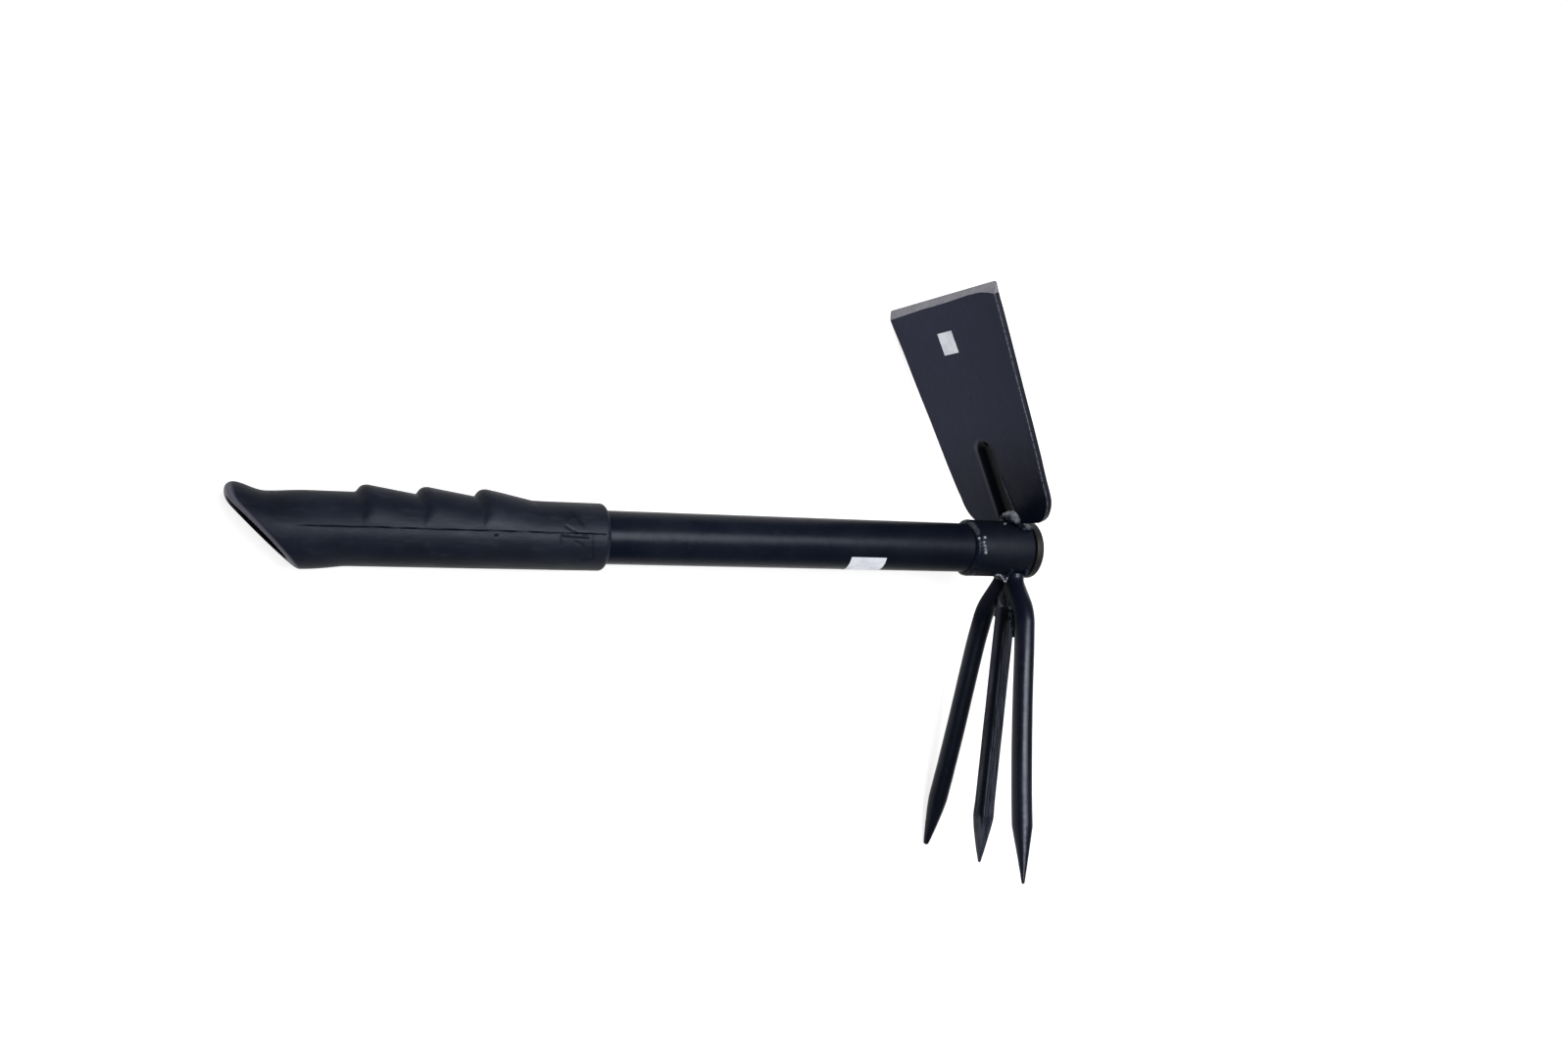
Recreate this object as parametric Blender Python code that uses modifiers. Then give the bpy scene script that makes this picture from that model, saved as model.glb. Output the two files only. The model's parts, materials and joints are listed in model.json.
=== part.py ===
"""Hand digging hoe: a steel tube handle with a moulded grip, and a welded head with a blade and three tines.

Everything is modelled in the tool's own directions, with the origin at the end of the handle by the head:
X runs along the handle from the grip to the head, Y points up the blade, and Z goes across it.
The finished tool is then laid down on its side, the way it lies on a table: on a corner of the blade,
a tine and the grip. Sizes are in millimetres here, and MM turns them into metres.
"""

import math

import bmesh
import bpy
from mathutils import Matrix, Vector

MM = 0.001
GAP = 0.3  # between two pieces that touch on the real tool
STEPS = 48  # sides of a turned piece

# Handle tube, one inch across
TUBE_RADIUS = 12.7
TUBE_WALL = 1.5
TUBE_LENGTH = 357.4
TUBE_CHAMFER = 0.4

# Plug in the head end of the tube
PLUG_FLANGE_OVERHANG = 2.6  # past the tube's outside
PLUG_FLANGE_LENGTH = 4.3
PLUG_FLANGE_ROUND = 1.2
PLUG_STEM_LENGTH = 9.0
PLUG_STEM_WALL = 1.6

# Sleeve that the blade and the tines are welded to
SOCKET_WALL = 1.8
SOCKET_LENGTH = 33.0
SOCKET_CHAMFER = 0.5

# Blade: a plate that tapers towards the socket and leans back to the grip
BLADE_THICKNESS = 3.0
BLADE_LEAN = math.radians(22.2)
BLADE_FOOT_SETBACK = 2.4  # from the socket's head end to where the inner face would cross the handle's axis
BLADE_REACH = 140.2  # from the handle's axis to the cutting edge, along the plate
BLADE_FOOT_GAP = 0.3  # between the socket and the lower edge
BLADE_EDGE_WIDTH = 109.9
BLADE_TAPER = 0.121  # loss of half width for each millimetre below the cutting edge
BLADE_CORNER_RADIUS = 13.8
GRIND_LENGTH = 4.0
GRIND_LAND = 0.6  # thickness left at the cutting edge
RIB_TOP = 62.0  # from the handle's axis, along the plate
RIB_WIDTH = 15.0
RIB_DEPTH = 3.0
RIB_OFFSET = -1.5

# Tines: round bars, the outer two bent out at a shoulder
TINE_RADIUS = 5.2
MIDDLE_TINE_RADIUS = 5.1
MIDDLE_TINE_SQUARENESS = 0.5  # 0 is round and 1 is square
TINE_SETBACK = 5.8  # from the socket's head end to where the bars would cross the handle's axis
OUTER_TINE_LEAN = 0.128  # run towards the grip for each millimetre down
MIDDLE_TINE_LEAN = 0.099
TINE_LENGTH = 150.5  # straight down from the socket to the tips
NECK_LENGTH = 2.9  # straight down from the socket to where the bars part
SHOULDER_DROP = 15.5
SHOULDER_RUN = 14.4  # sideways, for each bar
SPREAD = 29.7  # sideways from the shoulder to the tip, for each bar
NECK_BEND_RADIUS = 7.0
SHOULDER_BEND_RADIUS = 22.0
CROTCH_GAP = 1.2  # between the shoulders and the sides of the middle bar's end
POINT_TIP_RADIUS = 0.7
POINT_SQUARED_BY = 0.33  # share of the point by which its section has gone from round to square
UPPER_POINT = (28.0, 1.15)  # length of the forged point, and how late it narrows
MIDDLE_POINT = (25.0, 1.2)
LOWER_POINT = (26.0, 1.75)

# Grip: a moulded sleeve with three finger ridges and a butt cut at a slant
GRIP_WALL = 2.8
GRIP_CUFF_LENGTH = 28.0
GRIP_CUFF_ROUND = 2.6
GRIP_CUFF_RISE = 0.1  # over the plain wall, at the top
GRIP_PALM_RISE = 1.1
RIDGE_COUNT = 3
RIDGE_SETBACK = 55.0  # from the grip's front to the first crest
RIDGE_PITCH = 25.9
RIDGE_HEIGHT = 3.3
RIDGE_FACE = 5.5
RIDGE_FACE_STEEPNESS = 3.0  # 1 is a straight slope
RIDGE_FADE = 1.5  # how fast the ridges sink into the sides
HEEL_LENGTH = 41.6  # from the last ridge to where the slanted cut crosses the handle's axis
TUBE_RECESS = 27.5  # from there in to the end of the tube
BUTT_SLANT = 1.0  # run along the handle for each millimetre up
BUTT_TURN_HEIGHT = 8.0  # above this the cut turns up into the lip
BUTT_TURN_REACH = 5.0
BUTT_SLANT_LENGTH = 42.0  # over which the sections go from square to slanted
BUTT_FLARE_LENGTH = 34.0
LIP_TOP_RISE = 3.6
LIP_BOTTOM_RISE = 1.6
LIP_SIDE_RISE = 0.8
LIP_LENGTH = 11.0
LIP_ROUND_TOP = 3.5
LIP_ROUND_BOTTOM = 1.2
NECK_RISE = 0.2
NECK_REACH = 13.0

# Weld beads. A reach is how far a bead's middle line lies from what it is set off.
BEAD_SIDES = 8
BEAD_RIPPLE = 0.12  # share of its radius by which a bead swells at each ripple
BEAD_RIPPLE_PITCH = 2.4
BEAD_END_SHARE = 0.4  # radius at a bead's ends, as a share of the rest
BEAD_END_LENGTH = 0.12  # share of a bead's length over which it rounds off
RING_BEAD_RADIUS = 2.5
RING_BEAD_LIFT = 0.1  # of its middle line over the tube
RING_BEAD_REACH = 0.5
BLADE_BEAD_RADIUS = 2.6
BLADE_BEAD_LIFT = 0.5
BLADE_BEAD_REACH = 0.8
BLADE_BEAD_START = math.radians(-42)  # turns round the socket from the blade's side towards +Z
BLADE_BEAD_END = math.radians(46)
BLADE_BEAD_DRIFT = (4.5, 1.5)  # run of the inner and the outer bead towards the head, one radian round
BLOB_SWELL = 0.55  # extra radius in the middle of the inner bead
BLOB_LENGTH = 0.14  # as a share of the bead
FORK_BEAD_RADIUS = 2.3
FORK_BEAD_LIFT = 0.4
FORK_BEAD_SPAN = math.radians(80)
CROTCH_FILL_RADIUS = 4.6
CROTCH_FILL_LENGTH = 7.2

# Bare stickers
LABEL_THICKNESS = 0.2
BLADE_LABEL_WIDTH = 14.0
BLADE_LABEL_HEIGHT = 12.0
BLADE_LABEL_ACROSS = -3.0
BLADE_LABEL_SETBACK = 24.6  # from the cutting edge to its middle
HANDLE_LABEL_LENGTH = 20.0
HANDLE_LABEL_SETBACK = 53.4  # from the socket's tail end to the sticker
HANDLE_LABEL_START = 120  # degrees round the tube, from the blade's side towards +Z
HANDLE_LABEL_TURN = 90

# Places along the handle, and radii, that follow from the sizes above
TUBE_HEAD_X = -PLUG_FLANGE_LENGTH - GAP
TUBE_BUTT_X = TUBE_HEAD_X - TUBE_LENGTH
SOCKET_HEAD_X = TUBE_HEAD_X
SOCKET_TAIL_X = SOCKET_HEAD_X - SOCKET_LENGTH
SOCKET_RADIUS = TUBE_RADIUS + GAP + SOCKET_WALL
BLADE_FOOT_X = SOCKET_HEAD_X - BLADE_FOOT_SETBACK
BLADE_BASE = SOCKET_RADIUS + BLADE_FOOT_GAP + GAP  # from the handle's axis to the lower edge
TINE_ROOT_X = SOCKET_HEAD_X - TINE_SETBACK
GRIP_BORE = TUBE_RADIUS + GAP
GRIP_RADIUS = GRIP_BORE + GRIP_WALL
BUTT_X = TUBE_BUTT_X - TUBE_RECESS
RIDGE_LAST_X = BUTT_X + HEEL_LENGTH + RIDGE_FACE
RIDGE_FIRST_X = RIDGE_LAST_X + (RIDGE_COUNT - 1) * RIDGE_PITCH
GRIP_FRONT_X = RIDGE_FIRST_X + RIDGE_SETBACK

PAINT_BLACK = (0.030, 0.031, 0.050)
GRIP_BLACK = (0.026, 0.031, 0.042)
PLUG_BROWN = (0.045, 0.040, 0.040)
LABEL_SILVER = (0.42, 0.43, 0.48)


def clear_scene():
    for thing in list(bpy.data.objects):
        bpy.data.objects.remove(thing, do_unlink=True)


def new_collection(name):
    collection = bpy.data.collections.new(name)
    bpy.context.scene.collection.children.link(collection)
    return collection


def new_material(name, colour, roughness, metallic=0.0):
    material = bpy.data.materials.new(name)
    material.use_nodes = True
    shader = material.node_tree.nodes["Principled BSDF"]
    shader.inputs["Base Color"].default_value = (*colour, 1.0)
    shader.inputs["Roughness"].default_value = roughness
    shader.inputs["Metallic"].default_value = metallic
    return material


def add_object(name, mesh, smooth_below=40):
    """Puts a mesh in the tool's collection, in the tool's directions."""
    mesh.shade_smooth()
    mesh.set_sharp_from_angle(angle=math.radians(smooth_below))
    thing = bpy.data.objects.new(name, mesh)
    tool_parts.objects.link(thing)
    return thing


def mesh_from(name, vertices, faces=(), edges=()):
    mesh = bpy.data.meshes.new(name)
    mesh.from_pydata([Vector(v) * MM for v in vertices], edges, faces)
    mesh.update()
    return mesh


def as_cutter(thing):
    """Moves a shape out of the tool: it only cuts."""
    tool_parts.objects.unlink(thing)
    cutters.objects.link(thing)
    thing.hide_render = True
    thing.display_type = "WIRE"
    return thing


def cut(thing, *others):
    for other in others:
        modifier = thing.modifiers.new("cut_" + other.name, "BOOLEAN")
        modifier.operation = "DIFFERENCE"
        modifier.solver = "EXACT"
        modifier.object = other


def turned(name, profile, closed=True, angle=360, start=0):
    """Turns a profile of (place along the handle, radius) points about the handle.

    The start and the angle are in degrees, from the blade's side towards +Z.
    """
    count = len(profile)
    edges = [(i, (i + 1) % count) for i in range(count if closed else count - 1)]
    mesh = mesh_from(name, [(radius, 0, along) for along, radius in profile], edges=edges)
    thing = bpy.data.objects.new(name, mesh)
    tool_parts.objects.link(thing)
    along_handle = Matrix.Rotation(math.pi / 2, 4, "Y")
    thing.matrix_local = Matrix.Rotation(math.radians(start) + math.pi / 2, 4, "X") @ along_handle
    screw = thing.modifiers.new("turn", "SCREW")
    screw.angle = math.radians(angle)
    screw.steps = screw.render_steps = STEPS * angle // 360
    screw.use_merge_vertices = angle == 360
    screw.merge_threshold = 0.00001
    screw.use_smooth_shade = True
    return thing


def loft(name, rings, joined=False):
    """A closed skin through rings of equally many points. Its ends are capped, or joined to each other."""
    count = len(rings[0])
    vertices = [point for ring in rings for point in ring]
    faces = []
    for i in range(len(rings) if joined else len(rings) - 1):
        here, there = i * count, (i + 1) % len(rings) * count
        for j in range(count):
            k = (j + 1) % count
            faces.append((here + j, here + k, there + k, there + j))
    if not joined:
        faces.append(tuple(range(count))[::-1])
        faces.append(tuple(range((len(rings) - 1) * count, len(rings) * count)))
    mesh = mesh_from(name, vertices, faces)
    shape = bmesh.new()
    shape.from_mesh(mesh)
    bmesh.ops.recalc_face_normals(shape, faces=shape.faces)
    shape.to_mesh(mesh)
    shape.free()
    return add_object(name, mesh)


def rounded_path(corners, bend_radii, step=math.radians(8)):
    """The corner points joined by straight runs, with an arc of the given radius at each inner corner."""
    points = [Vector(corners[0])]
    for before, corner, after, radius in zip(corners, corners[1:], corners[2:], bend_radii):
        corner = Vector(corner)
        back = (Vector(before) - corner).normalized()
        ahead = (Vector(after) - corner).normalized()
        turn = math.pi - back.angle(ahead)
        reach = radius * math.tan(turn / 2)
        centre = corner + (back + ahead).normalized() * radius / math.cos(turn / 2)
        first = corner + back * reach - centre
        last = corner + ahead * reach - centre
        count = max(2, math.ceil(turn / step))
        points += [centre + first.slerp(last, i / count) * radius for i in range(count + 1)]
    points.append(Vector(corners[-1]))
    return points


def path_frames(points, across):
    """For each point of a path: its place, a sideways direction near the given one, and the third direction."""
    frames = []
    for i, point in enumerate(points):
        ahead = points[min(i + 1, len(points) - 1)] - points[max(i - 1, 0)]
        ahead.normalize()
        side = (Vector(across) - Vector(across).dot(ahead) * ahead).normalized()
        frames.append((point, side, ahead.cross(side)))
    return frames


def handle_tube():
    head, butt = TUBE_HEAD_X, TUBE_BUTT_X
    inner = TUBE_RADIUS - TUBE_WALL
    edge = TUBE_RADIUS - TUBE_CHAMFER
    return turned("handle_tube", [
        (head, edge), (head - TUBE_CHAMFER, TUBE_RADIUS),
        (butt + TUBE_CHAMFER, TUBE_RADIUS), (butt, edge),
        (butt, inner), (head, inner)])


def end_plug():
    """A moulded plug: a flange with a rounded rim, and a hollow stem inside the tube."""
    flange, rim = PLUG_FLANGE_LENGTH, PLUG_FLANGE_ROUND
    radius = TUBE_RADIUS + PLUG_FLANGE_OVERHANG
    stem = TUBE_RADIUS - TUBE_WALL - GAP
    stem_end = -flange - PLUG_STEM_LENGTH
    floor = -flange + PLUG_STEM_WALL
    rounds = [i * math.pi / 8 for i in range(5)]
    outside = [(rim * (math.cos(a) - 1), radius - rim + rim * math.sin(a)) for a in rounds]
    return turned("end_plug", [
        (0, 0), *outside, (-flange, radius), (-flange, stem), (stem_end, stem),
        (stem_end, stem - PLUG_STEM_WALL), (floor, stem - PLUG_STEM_WALL), (floor, 0)], closed=False)


def socket():
    head, tail = SOCKET_HEAD_X, SOCKET_TAIL_X
    bore, edge = TUBE_RADIUS + GAP, SOCKET_RADIUS - SOCKET_CHAMFER
    return turned("socket", [
        (head, edge), (head - SOCKET_CHAMFER, SOCKET_RADIUS),
        (tail + SOCKET_CHAMFER, SOCKET_RADIUS), (tail, edge),
        (tail, bore), (head, bore)])


def socket_clearance():
    """A solid bar that keeps everything clear of the socket."""
    head, tail = SOCKET_HEAD_X, SOCKET_TAIL_X
    radius = SOCKET_RADIUS + GAP
    return as_cutter(turned("socket_clearance", [
        (head + GAP, 0), (head + GAP, radius), (tail - GAP, radius), (tail - GAP, 0)], closed=False))


def tube_clearance():
    radius = TUBE_RADIUS + GAP
    return as_cutter(turned("tube_clearance", [
        (0, 0), (0, radius), (TUBE_BUTT_X, radius), (TUBE_BUTT_X, 0)], closed=False))


def blade_matrix():
    """X across the plate, Y up the plate, Z out of its inner face, towards the grip."""
    along = Vector((-math.sin(BLADE_LEAN), math.cos(BLADE_LEAN), 0))
    across = Vector((0, 0, 1))
    foot = Vector((BLADE_FOOT_X, 0, 0)) * MM
    matrix = Matrix((across, along, across.cross(along))).transposed().to_4x4()
    return Matrix.Translation(foot) @ matrix


def blade_half_width(along):
    """Half the plate's width at a place along it, with the round lower corners."""
    half = BLADE_EDGE_WIDTH / 2 - BLADE_TAPER * (BLADE_REACH - along)
    into_corner = BLADE_BASE + BLADE_CORNER_RADIUS - along
    if into_corner <= 0:
        return half
    return half - BLADE_CORNER_RADIUS + math.sqrt(max(0, BLADE_CORNER_RADIUS**2 - into_corner**2))


def rib_depth(across, along):
    """How far the pressed groove pushes the plate back: a long hollow with a round upper end."""
    half = RIB_WIDTH / 2
    past_end = max(0, along - (RIB_TOP - half))
    share = math.hypot(across - RIB_OFFSET, past_end) / half
    return RIB_DEPTH * 0.5 * (1 + math.cos(math.pi * min(share, 1)))


def blade_rows():
    """Places along the plate: close together round the corners and over the groove."""
    corner_top = BLADE_BASE + BLADE_CORNER_RADIUS
    corner = [corner_top - BLADE_CORNER_RADIUS * math.cos(math.radians(a)) for a in range(0, 90, 15)]
    rib_steps = 12
    rib = [corner_top + (RIB_TOP - corner_top) * i / rib_steps for i in range(rib_steps + 1)]
    grind = BLADE_REACH - GRIND_LENGTH
    return [*corner, *rib, (RIB_TOP + grind) / 2, grind, BLADE_REACH]


def blade_columns(half):
    """Places across the plate: evenly over the groove, and spread out to each side."""
    rib_columns, side_columns = 12, 3
    left, right = RIB_OFFSET - RIB_WIDTH / 2, RIB_OFFSET + RIB_WIDTH / 2
    sides = [i / side_columns for i in range(1, side_columns + 1)]
    return ([left - (half + left) * s for s in reversed(sides)]
            + [left + RIB_WIDTH * i / rib_columns for i in range(rib_columns + 1)]
            + [right + (half - right) * s for s in sides])


def blade_plate(name, clearance=0):
    """The pressed plate, made from its middle surface. The grind thins it to its back face at the edge.

    With a clearance it is the same plate, thicker all round, for cutting what lies against it.
    """
    saddle = SOCKET_RADIUS + GAP - clearance
    vertices, faces = [], []
    rows = blade_rows()
    for along in rows:
        half = blade_half_width(along) + clearance
        columns = blade_columns(half)
        in_corner = max(0, 1 - (along - BLADE_BASE) / BLADE_CORNER_RADIUS)
        for across in columns:
            clear_of_socket = math.sqrt(max(0, saddle**2 - across**2)) / math.cos(BLADE_LEAN)
            lift = max(0, clear_of_socket - BLADE_BASE) - clearance
            behind = BLADE_THICKNESS - GRIND_LAND / 2 if along == BLADE_REACH else BLADE_THICKNESS / 2
            vertices.append((across, along + lift * in_corner, -behind - rib_depth(across, along)))
    count = len(columns)
    for i in range(len(rows) - 1):
        for j in range(count - 1):
            here = i * count + j
            faces.append((here, here + 1, here + count + 1, here + count))
    thing = add_object(name, mesh_from(name, vertices, faces))
    thing.matrix_local = blade_matrix()
    ground = thing.vertex_groups.new(name="full_thickness")
    edge_row = (len(rows) - 1) * count
    ground.add(range(edge_row), 1.0, "REPLACE")
    ground.add(range(edge_row, edge_row + count), GRIND_LAND / BLADE_THICKNESS, "REPLACE")
    plate = thing.modifiers.new("plate", "SOLIDIFY")
    plate.thickness = (BLADE_THICKNESS + 2 * clearance) * MM
    plate.offset = 0
    plate.use_even_offset = True
    plate.vertex_group = ground.name
    return thing


def outer_tine_path(side):
    """From inside the socket's wall down, out at the shoulder, and straight to the tip."""
    root = TINE_RADIUS + GAP / 2
    neck = SOCKET_RADIUS + NECK_LENGTH
    shoulder = neck + SHOULDER_DROP
    corners = [
        (SOCKET_RADIUS - 2 * TINE_RADIUS, root),
        (neck, root),
        (shoulder, root + SHOULDER_RUN),
        (SOCKET_RADIUS + TINE_LENGTH, root + SHOULDER_RUN + SPREAD)]
    corners = [(TINE_ROOT_X - OUTER_TINE_LEAN * down, -down, side * out) for down, out in corners]
    return rounded_path(corners, [NECK_BEND_RADIUS, SHOULDER_BEND_RADIUS])


def middle_tine_top():
    """How far below the handle's axis the shoulders leave room for the middle bar between them."""
    slope = math.atan2(SHOULDER_RUN, SHOULDER_DROP)
    room = MIDDLE_TINE_RADIUS + CROTCH_GAP + TINE_RADIUS / math.cos(slope)
    return SOCKET_RADIUS + NECK_LENGTH + (room - TINE_RADIUS) / math.tan(slope)


def middle_tine_path():
    ends = (middle_tine_top(), SOCKET_RADIUS + TINE_LENGTH)
    return [Vector((TINE_ROOT_X - MIDDLE_TINE_LEAN * down, -down, 0)) for down in ends]


def pointed_bar(name, path, radius, point, squareness=0, clearance=0):
    """A bar along a path, forged to a four-sided point at its last end."""
    point_length, lateness = point
    tip, ahead = path[-1], (path[-1] - path[-2]).normalized()
    point_steps = 8
    stations = path[:-1] + [tip - ahead * point_length * (1 - i / point_steps) for i in range(point_steps + 1)]
    bar_count = len(path) - 1
    sides = 16
    rings = []
    for i, (place, side, other) in enumerate(path_frames(stations, (1, 0, 0))):
        to_tip = max(0, (i - bar_count) / point_steps)
        size = radius + (POINT_TIP_RADIUS - radius) * to_tip**lateness + clearance
        flat = 1 - (1 - math.sqrt(0.5)) * max(squareness, min(1, to_tip / POINT_SQUARED_BY))
        ring = []
        for k in range(sides):
            angle = 2 * math.pi * k / sides
            off_flat = (angle + math.pi / 4) % (math.pi / 2) - math.pi / 4
            reach = size * min(1, flat / math.cos(off_flat))
            ring.append(place + (side * math.cos(angle) + other * math.sin(angle)) * reach)
        rings.append(ring)
    return loft(name, rings)


def grip_top(x):
    """Height of the grip's upper outline above its plain wall, with the finger ridges left out."""
    cuff_start = GRIP_FRONT_X - GRIP_CUFF_LENGTH
    neck_x = BUTT_X + LIP_ROUND_TOP + LIP_LENGTH
    to_palm = smooth((cuff_start - x) / (cuff_start - RIDGE_FIRST_X))
    to_neck = smooth(1 - (x - neck_x) / NECK_REACH)
    to_lip = smooth((neck_x - x) / LIP_LENGTH)
    return (GRIP_CUFF_RISE
            + (GRIP_PALM_RISE - GRIP_CUFF_RISE) * to_palm
            + (NECK_RISE - GRIP_PALM_RISE) * to_neck
            + (LIP_TOP_RISE - NECK_RISE) * to_lip)


def smooth(share):
    """Eases a share from 0 to 1."""
    share = min(1, max(0, share))
    return share * share * (3 - 2 * share)


def ridge_height(x):
    """The finger ridges: each rises steeply on its butt side and falls slowly towards the head."""
    for i in range(RIDGE_COUNT):
        past_crest = x - (RIDGE_FIRST_X - i * RIDGE_PITCH)
        if -RIDGE_FACE <= past_crest <= 0:
            return RIDGE_HEIGHT * (1 - (-past_crest / RIDGE_FACE) ** RIDGE_FACE_STEEPNESS)
        if 0 < past_crest < RIDGE_PITCH - RIDGE_FACE:
            return RIDGE_HEIGHT * (1 - past_crest / (RIDGE_PITCH - RIDGE_FACE))
    return 0.0


def grip_radius(x, angle):
    """Distance of the grip's skin from the axis, at an angle measured from the side towards the blade."""
    up, down = max(0, math.sin(angle)), max(0, -math.sin(angle))
    flare = smooth(1 - (x - BUTT_X) / BUTT_FLARE_LENGTH)
    side = LIP_SIDE_RISE * flare
    rise = side + (grip_top(x) - side) * up**2 + (LIP_BOTTOM_RISE * flare - side) * down**2
    return GRIP_RADIUS + rise + ridge_height(x) * up**RIDGE_FADE


def slant_run(x, up):
    """How far the slanted cut carries a point towards the butt. The sections further in slant less."""
    over = max(0, up - BUTT_TURN_HEIGHT)
    run = min(up, BUTT_TURN_HEIGHT) + BUTT_TURN_REACH * math.tanh(over / BUTT_TURN_REACH)
    return BUTT_SLANT * run * math.sqrt(smooth(1 - (x - BUTT_X) / BUTT_SLANT_LENGTH))


def grip_stations():
    """Where the sections lie, from the cuff to the butt: close together where the outline turns."""
    stations = [GRIP_FRONT_X - GRIP_CUFF_LENGTH * share for share in (0.4, 0.75)]
    for i in range(RIDGE_COUNT):
        crest = RIDGE_FIRST_X - i * RIDGE_PITCH
        slope = RIDGE_PITCH - RIDGE_FACE
        stations += [crest + slope * share for share in (0.95, 0.6, 0.3, 0.1)]
        stations += [crest - RIDGE_FACE * share for share in (0, 0.3, 0.6, 0.8, 1)]
    last = RIDGE_LAST_X - RIDGE_FACE
    butt = BUTT_X + LIP_ROUND_TOP
    butt_steps = 12
    return stations + [last + (butt - last) * i / butt_steps for i in range(1, butt_steps)]


def grip():
    """A sleeve skinned from the cuff to the slanted butt, over its rim, and back along the bore."""
    sides = 36
    angles = [2 * math.pi * k / sides for k in range(sides)]
    quarter = [i * math.pi / 8 for i in range(5)]

    def section(x, radius_at, forward_at=lambda angle: 0.0):
        points = []
        for angle in angles:
            radius = radius_at(angle)
            up = radius * math.sin(angle)
            along = x + forward_at(angle) - slant_run(x, up)
            points.append((along, up, radius * math.cos(angle)))
        return points

    def skin(x, inset=0.0):
        return section(x, lambda angle: grip_radius(x, angle) - inset)

    def rounding(angle):
        return LIP_ROUND_BOTTOM + (LIP_ROUND_TOP - LIP_ROUND_BOTTOM) * (1 + math.sin(angle)) / 2

    def rim(turn):
        """The rounded outer edge of the butt, from the skin at 0 to the slanted face at a quarter turn."""
        return section(
            BUTT_X,
            lambda angle: grip_radius(BUTT_X, angle) - rounding(angle) * (1 - math.cos(turn)),
            lambda angle: rounding(angle) * (1 - math.sin(turn)))

    rings = [section(GRIP_FRONT_X, lambda angle: GRIP_BORE)]
    for turn in reversed(quarter):
        x = GRIP_FRONT_X - GRIP_CUFF_ROUND * (1 - math.sin(turn))
        rings.append(skin(x, GRIP_CUFF_ROUND * (1 - math.cos(turn))))
    rings += [skin(x) for x in grip_stations()]
    rings += [rim(turn) for turn in quarter]
    rings.append(section(BUTT_X, lambda angle: GRIP_BORE))
    return loft("grip", rings, joined=True)


def ripple(along):
    """How much fatter or thinner than usual a bead is at a place along it."""
    return 1 + BEAD_RIPPLE * math.cos(2 * math.pi * along / BEAD_RIPPLE_PITCH)


def bead(name, path, radius, swell=lambda share: 1):
    """A weld bead: a thick rippled line along a path, fatter where swell says, with round ends."""
    length = sum((there - here).length for here, there in zip(path, path[1:]))
    off_every_path = (0.3, 1, 0.2)
    rings = []
    for i, (place, side, other) in enumerate(path_frames(path, off_every_path)):
        share = i / (len(path) - 1)
        to_end = min(share, 1 - share) / BEAD_END_LENGTH
        size = radius * swell(share) * ripple(length * share)
        size *= BEAD_END_SHARE + (1 - BEAD_END_SHARE) * math.sqrt(min(1, to_end))
        rings.append([
            place + (side * math.cos(a) + other * math.sin(a)) * size
            for a in (2 * math.pi * k / BEAD_SIDES for k in range(BEAD_SIDES))])
    return loft(name, rings)


def ring_bead():
    """The bead round the tube, against the tail end of the socket."""
    ripples = round(2 * math.pi * SOCKET_RADIUS / BEAD_RIPPLE_PITCH)
    steps = 2 * ripples
    centre_x = SOCKET_TAIL_X - RING_BEAD_REACH
    rings = []
    for i in range(steps):
        turn = 2 * math.pi * i / steps
        size = RING_BEAD_RADIUS * (1 + BEAD_RIPPLE * math.cos(ripples * turn) / 2)
        ring = []
        for k in range(BEAD_SIDES):
            angle = 2 * math.pi * k / BEAD_SIDES
            out = TUBE_RADIUS + RING_BEAD_LIFT + size * math.cos(angle)
            ring.append((centre_x + size * math.sin(angle), out * math.cos(turn), out * math.sin(turn)))
        rings.append(ring)
    return loft("weld_socket_to_tube", rings, joined=True)


def on_socket(x, turn, off=0.0):
    """A point over the socket's wall, at a turn from the blade's side towards +Z."""
    radius = SOCKET_RADIUS + off
    return Vector((x, radius * math.cos(turn), radius * math.sin(turn)))


def blade_beads():
    """Two beads along the foot of the blade. The inner one fills the end of the pressed groove."""
    steps = 24
    span = BLADE_BEAD_END - BLADE_BEAD_START
    turns = [BLADE_BEAD_START + span * i / steps for i in range(steps + 1)]
    inner_x = BLADE_FOOT_X - math.tan(BLADE_LEAN) * SOCKET_RADIUS
    outer_x = inner_x + BLADE_THICKNESS / math.cos(BLADE_LEAN)
    found = []
    for name, x, drift in zip(
            ("weld_blade_inner", "weld_blade_outer"),
            (inner_x - BLADE_BEAD_REACH, outer_x + BLADE_BEAD_REACH),
            BLADE_BEAD_DRIFT):
        path = [on_socket(x + drift * max(0, turn) ** 2, turn, BLADE_BEAD_LIFT) for turn in turns]
        blob = BLOB_SWELL if name == "weld_blade_inner" else 0
        found.append(bead(
            name, path, BLADE_BEAD_RADIUS,
            lambda share: 1 + blob * math.exp(-((share - 0.5) / BLOB_LENGTH) ** 2)))
    return found


def fork_beads():
    """Two beads where the outer tines meet the socket, before and behind them."""
    steps = 18
    centre_x = TINE_ROOT_X - OUTER_TINE_LEAN * SOCKET_RADIUS
    turns = [math.pi + FORK_BEAD_SPAN * (i / steps - 0.5) for i in range(steps + 1)]
    found = []
    for name, side in (("weld_fork_inner", -1), ("weld_fork_outer", 1)):
        path = [on_socket(centre_x + side * TINE_RADIUS, turn, FORK_BEAD_LIFT) for turn in turns]
        found.append(bead(name, path, FORK_BEAD_RADIUS))
    return found


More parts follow.
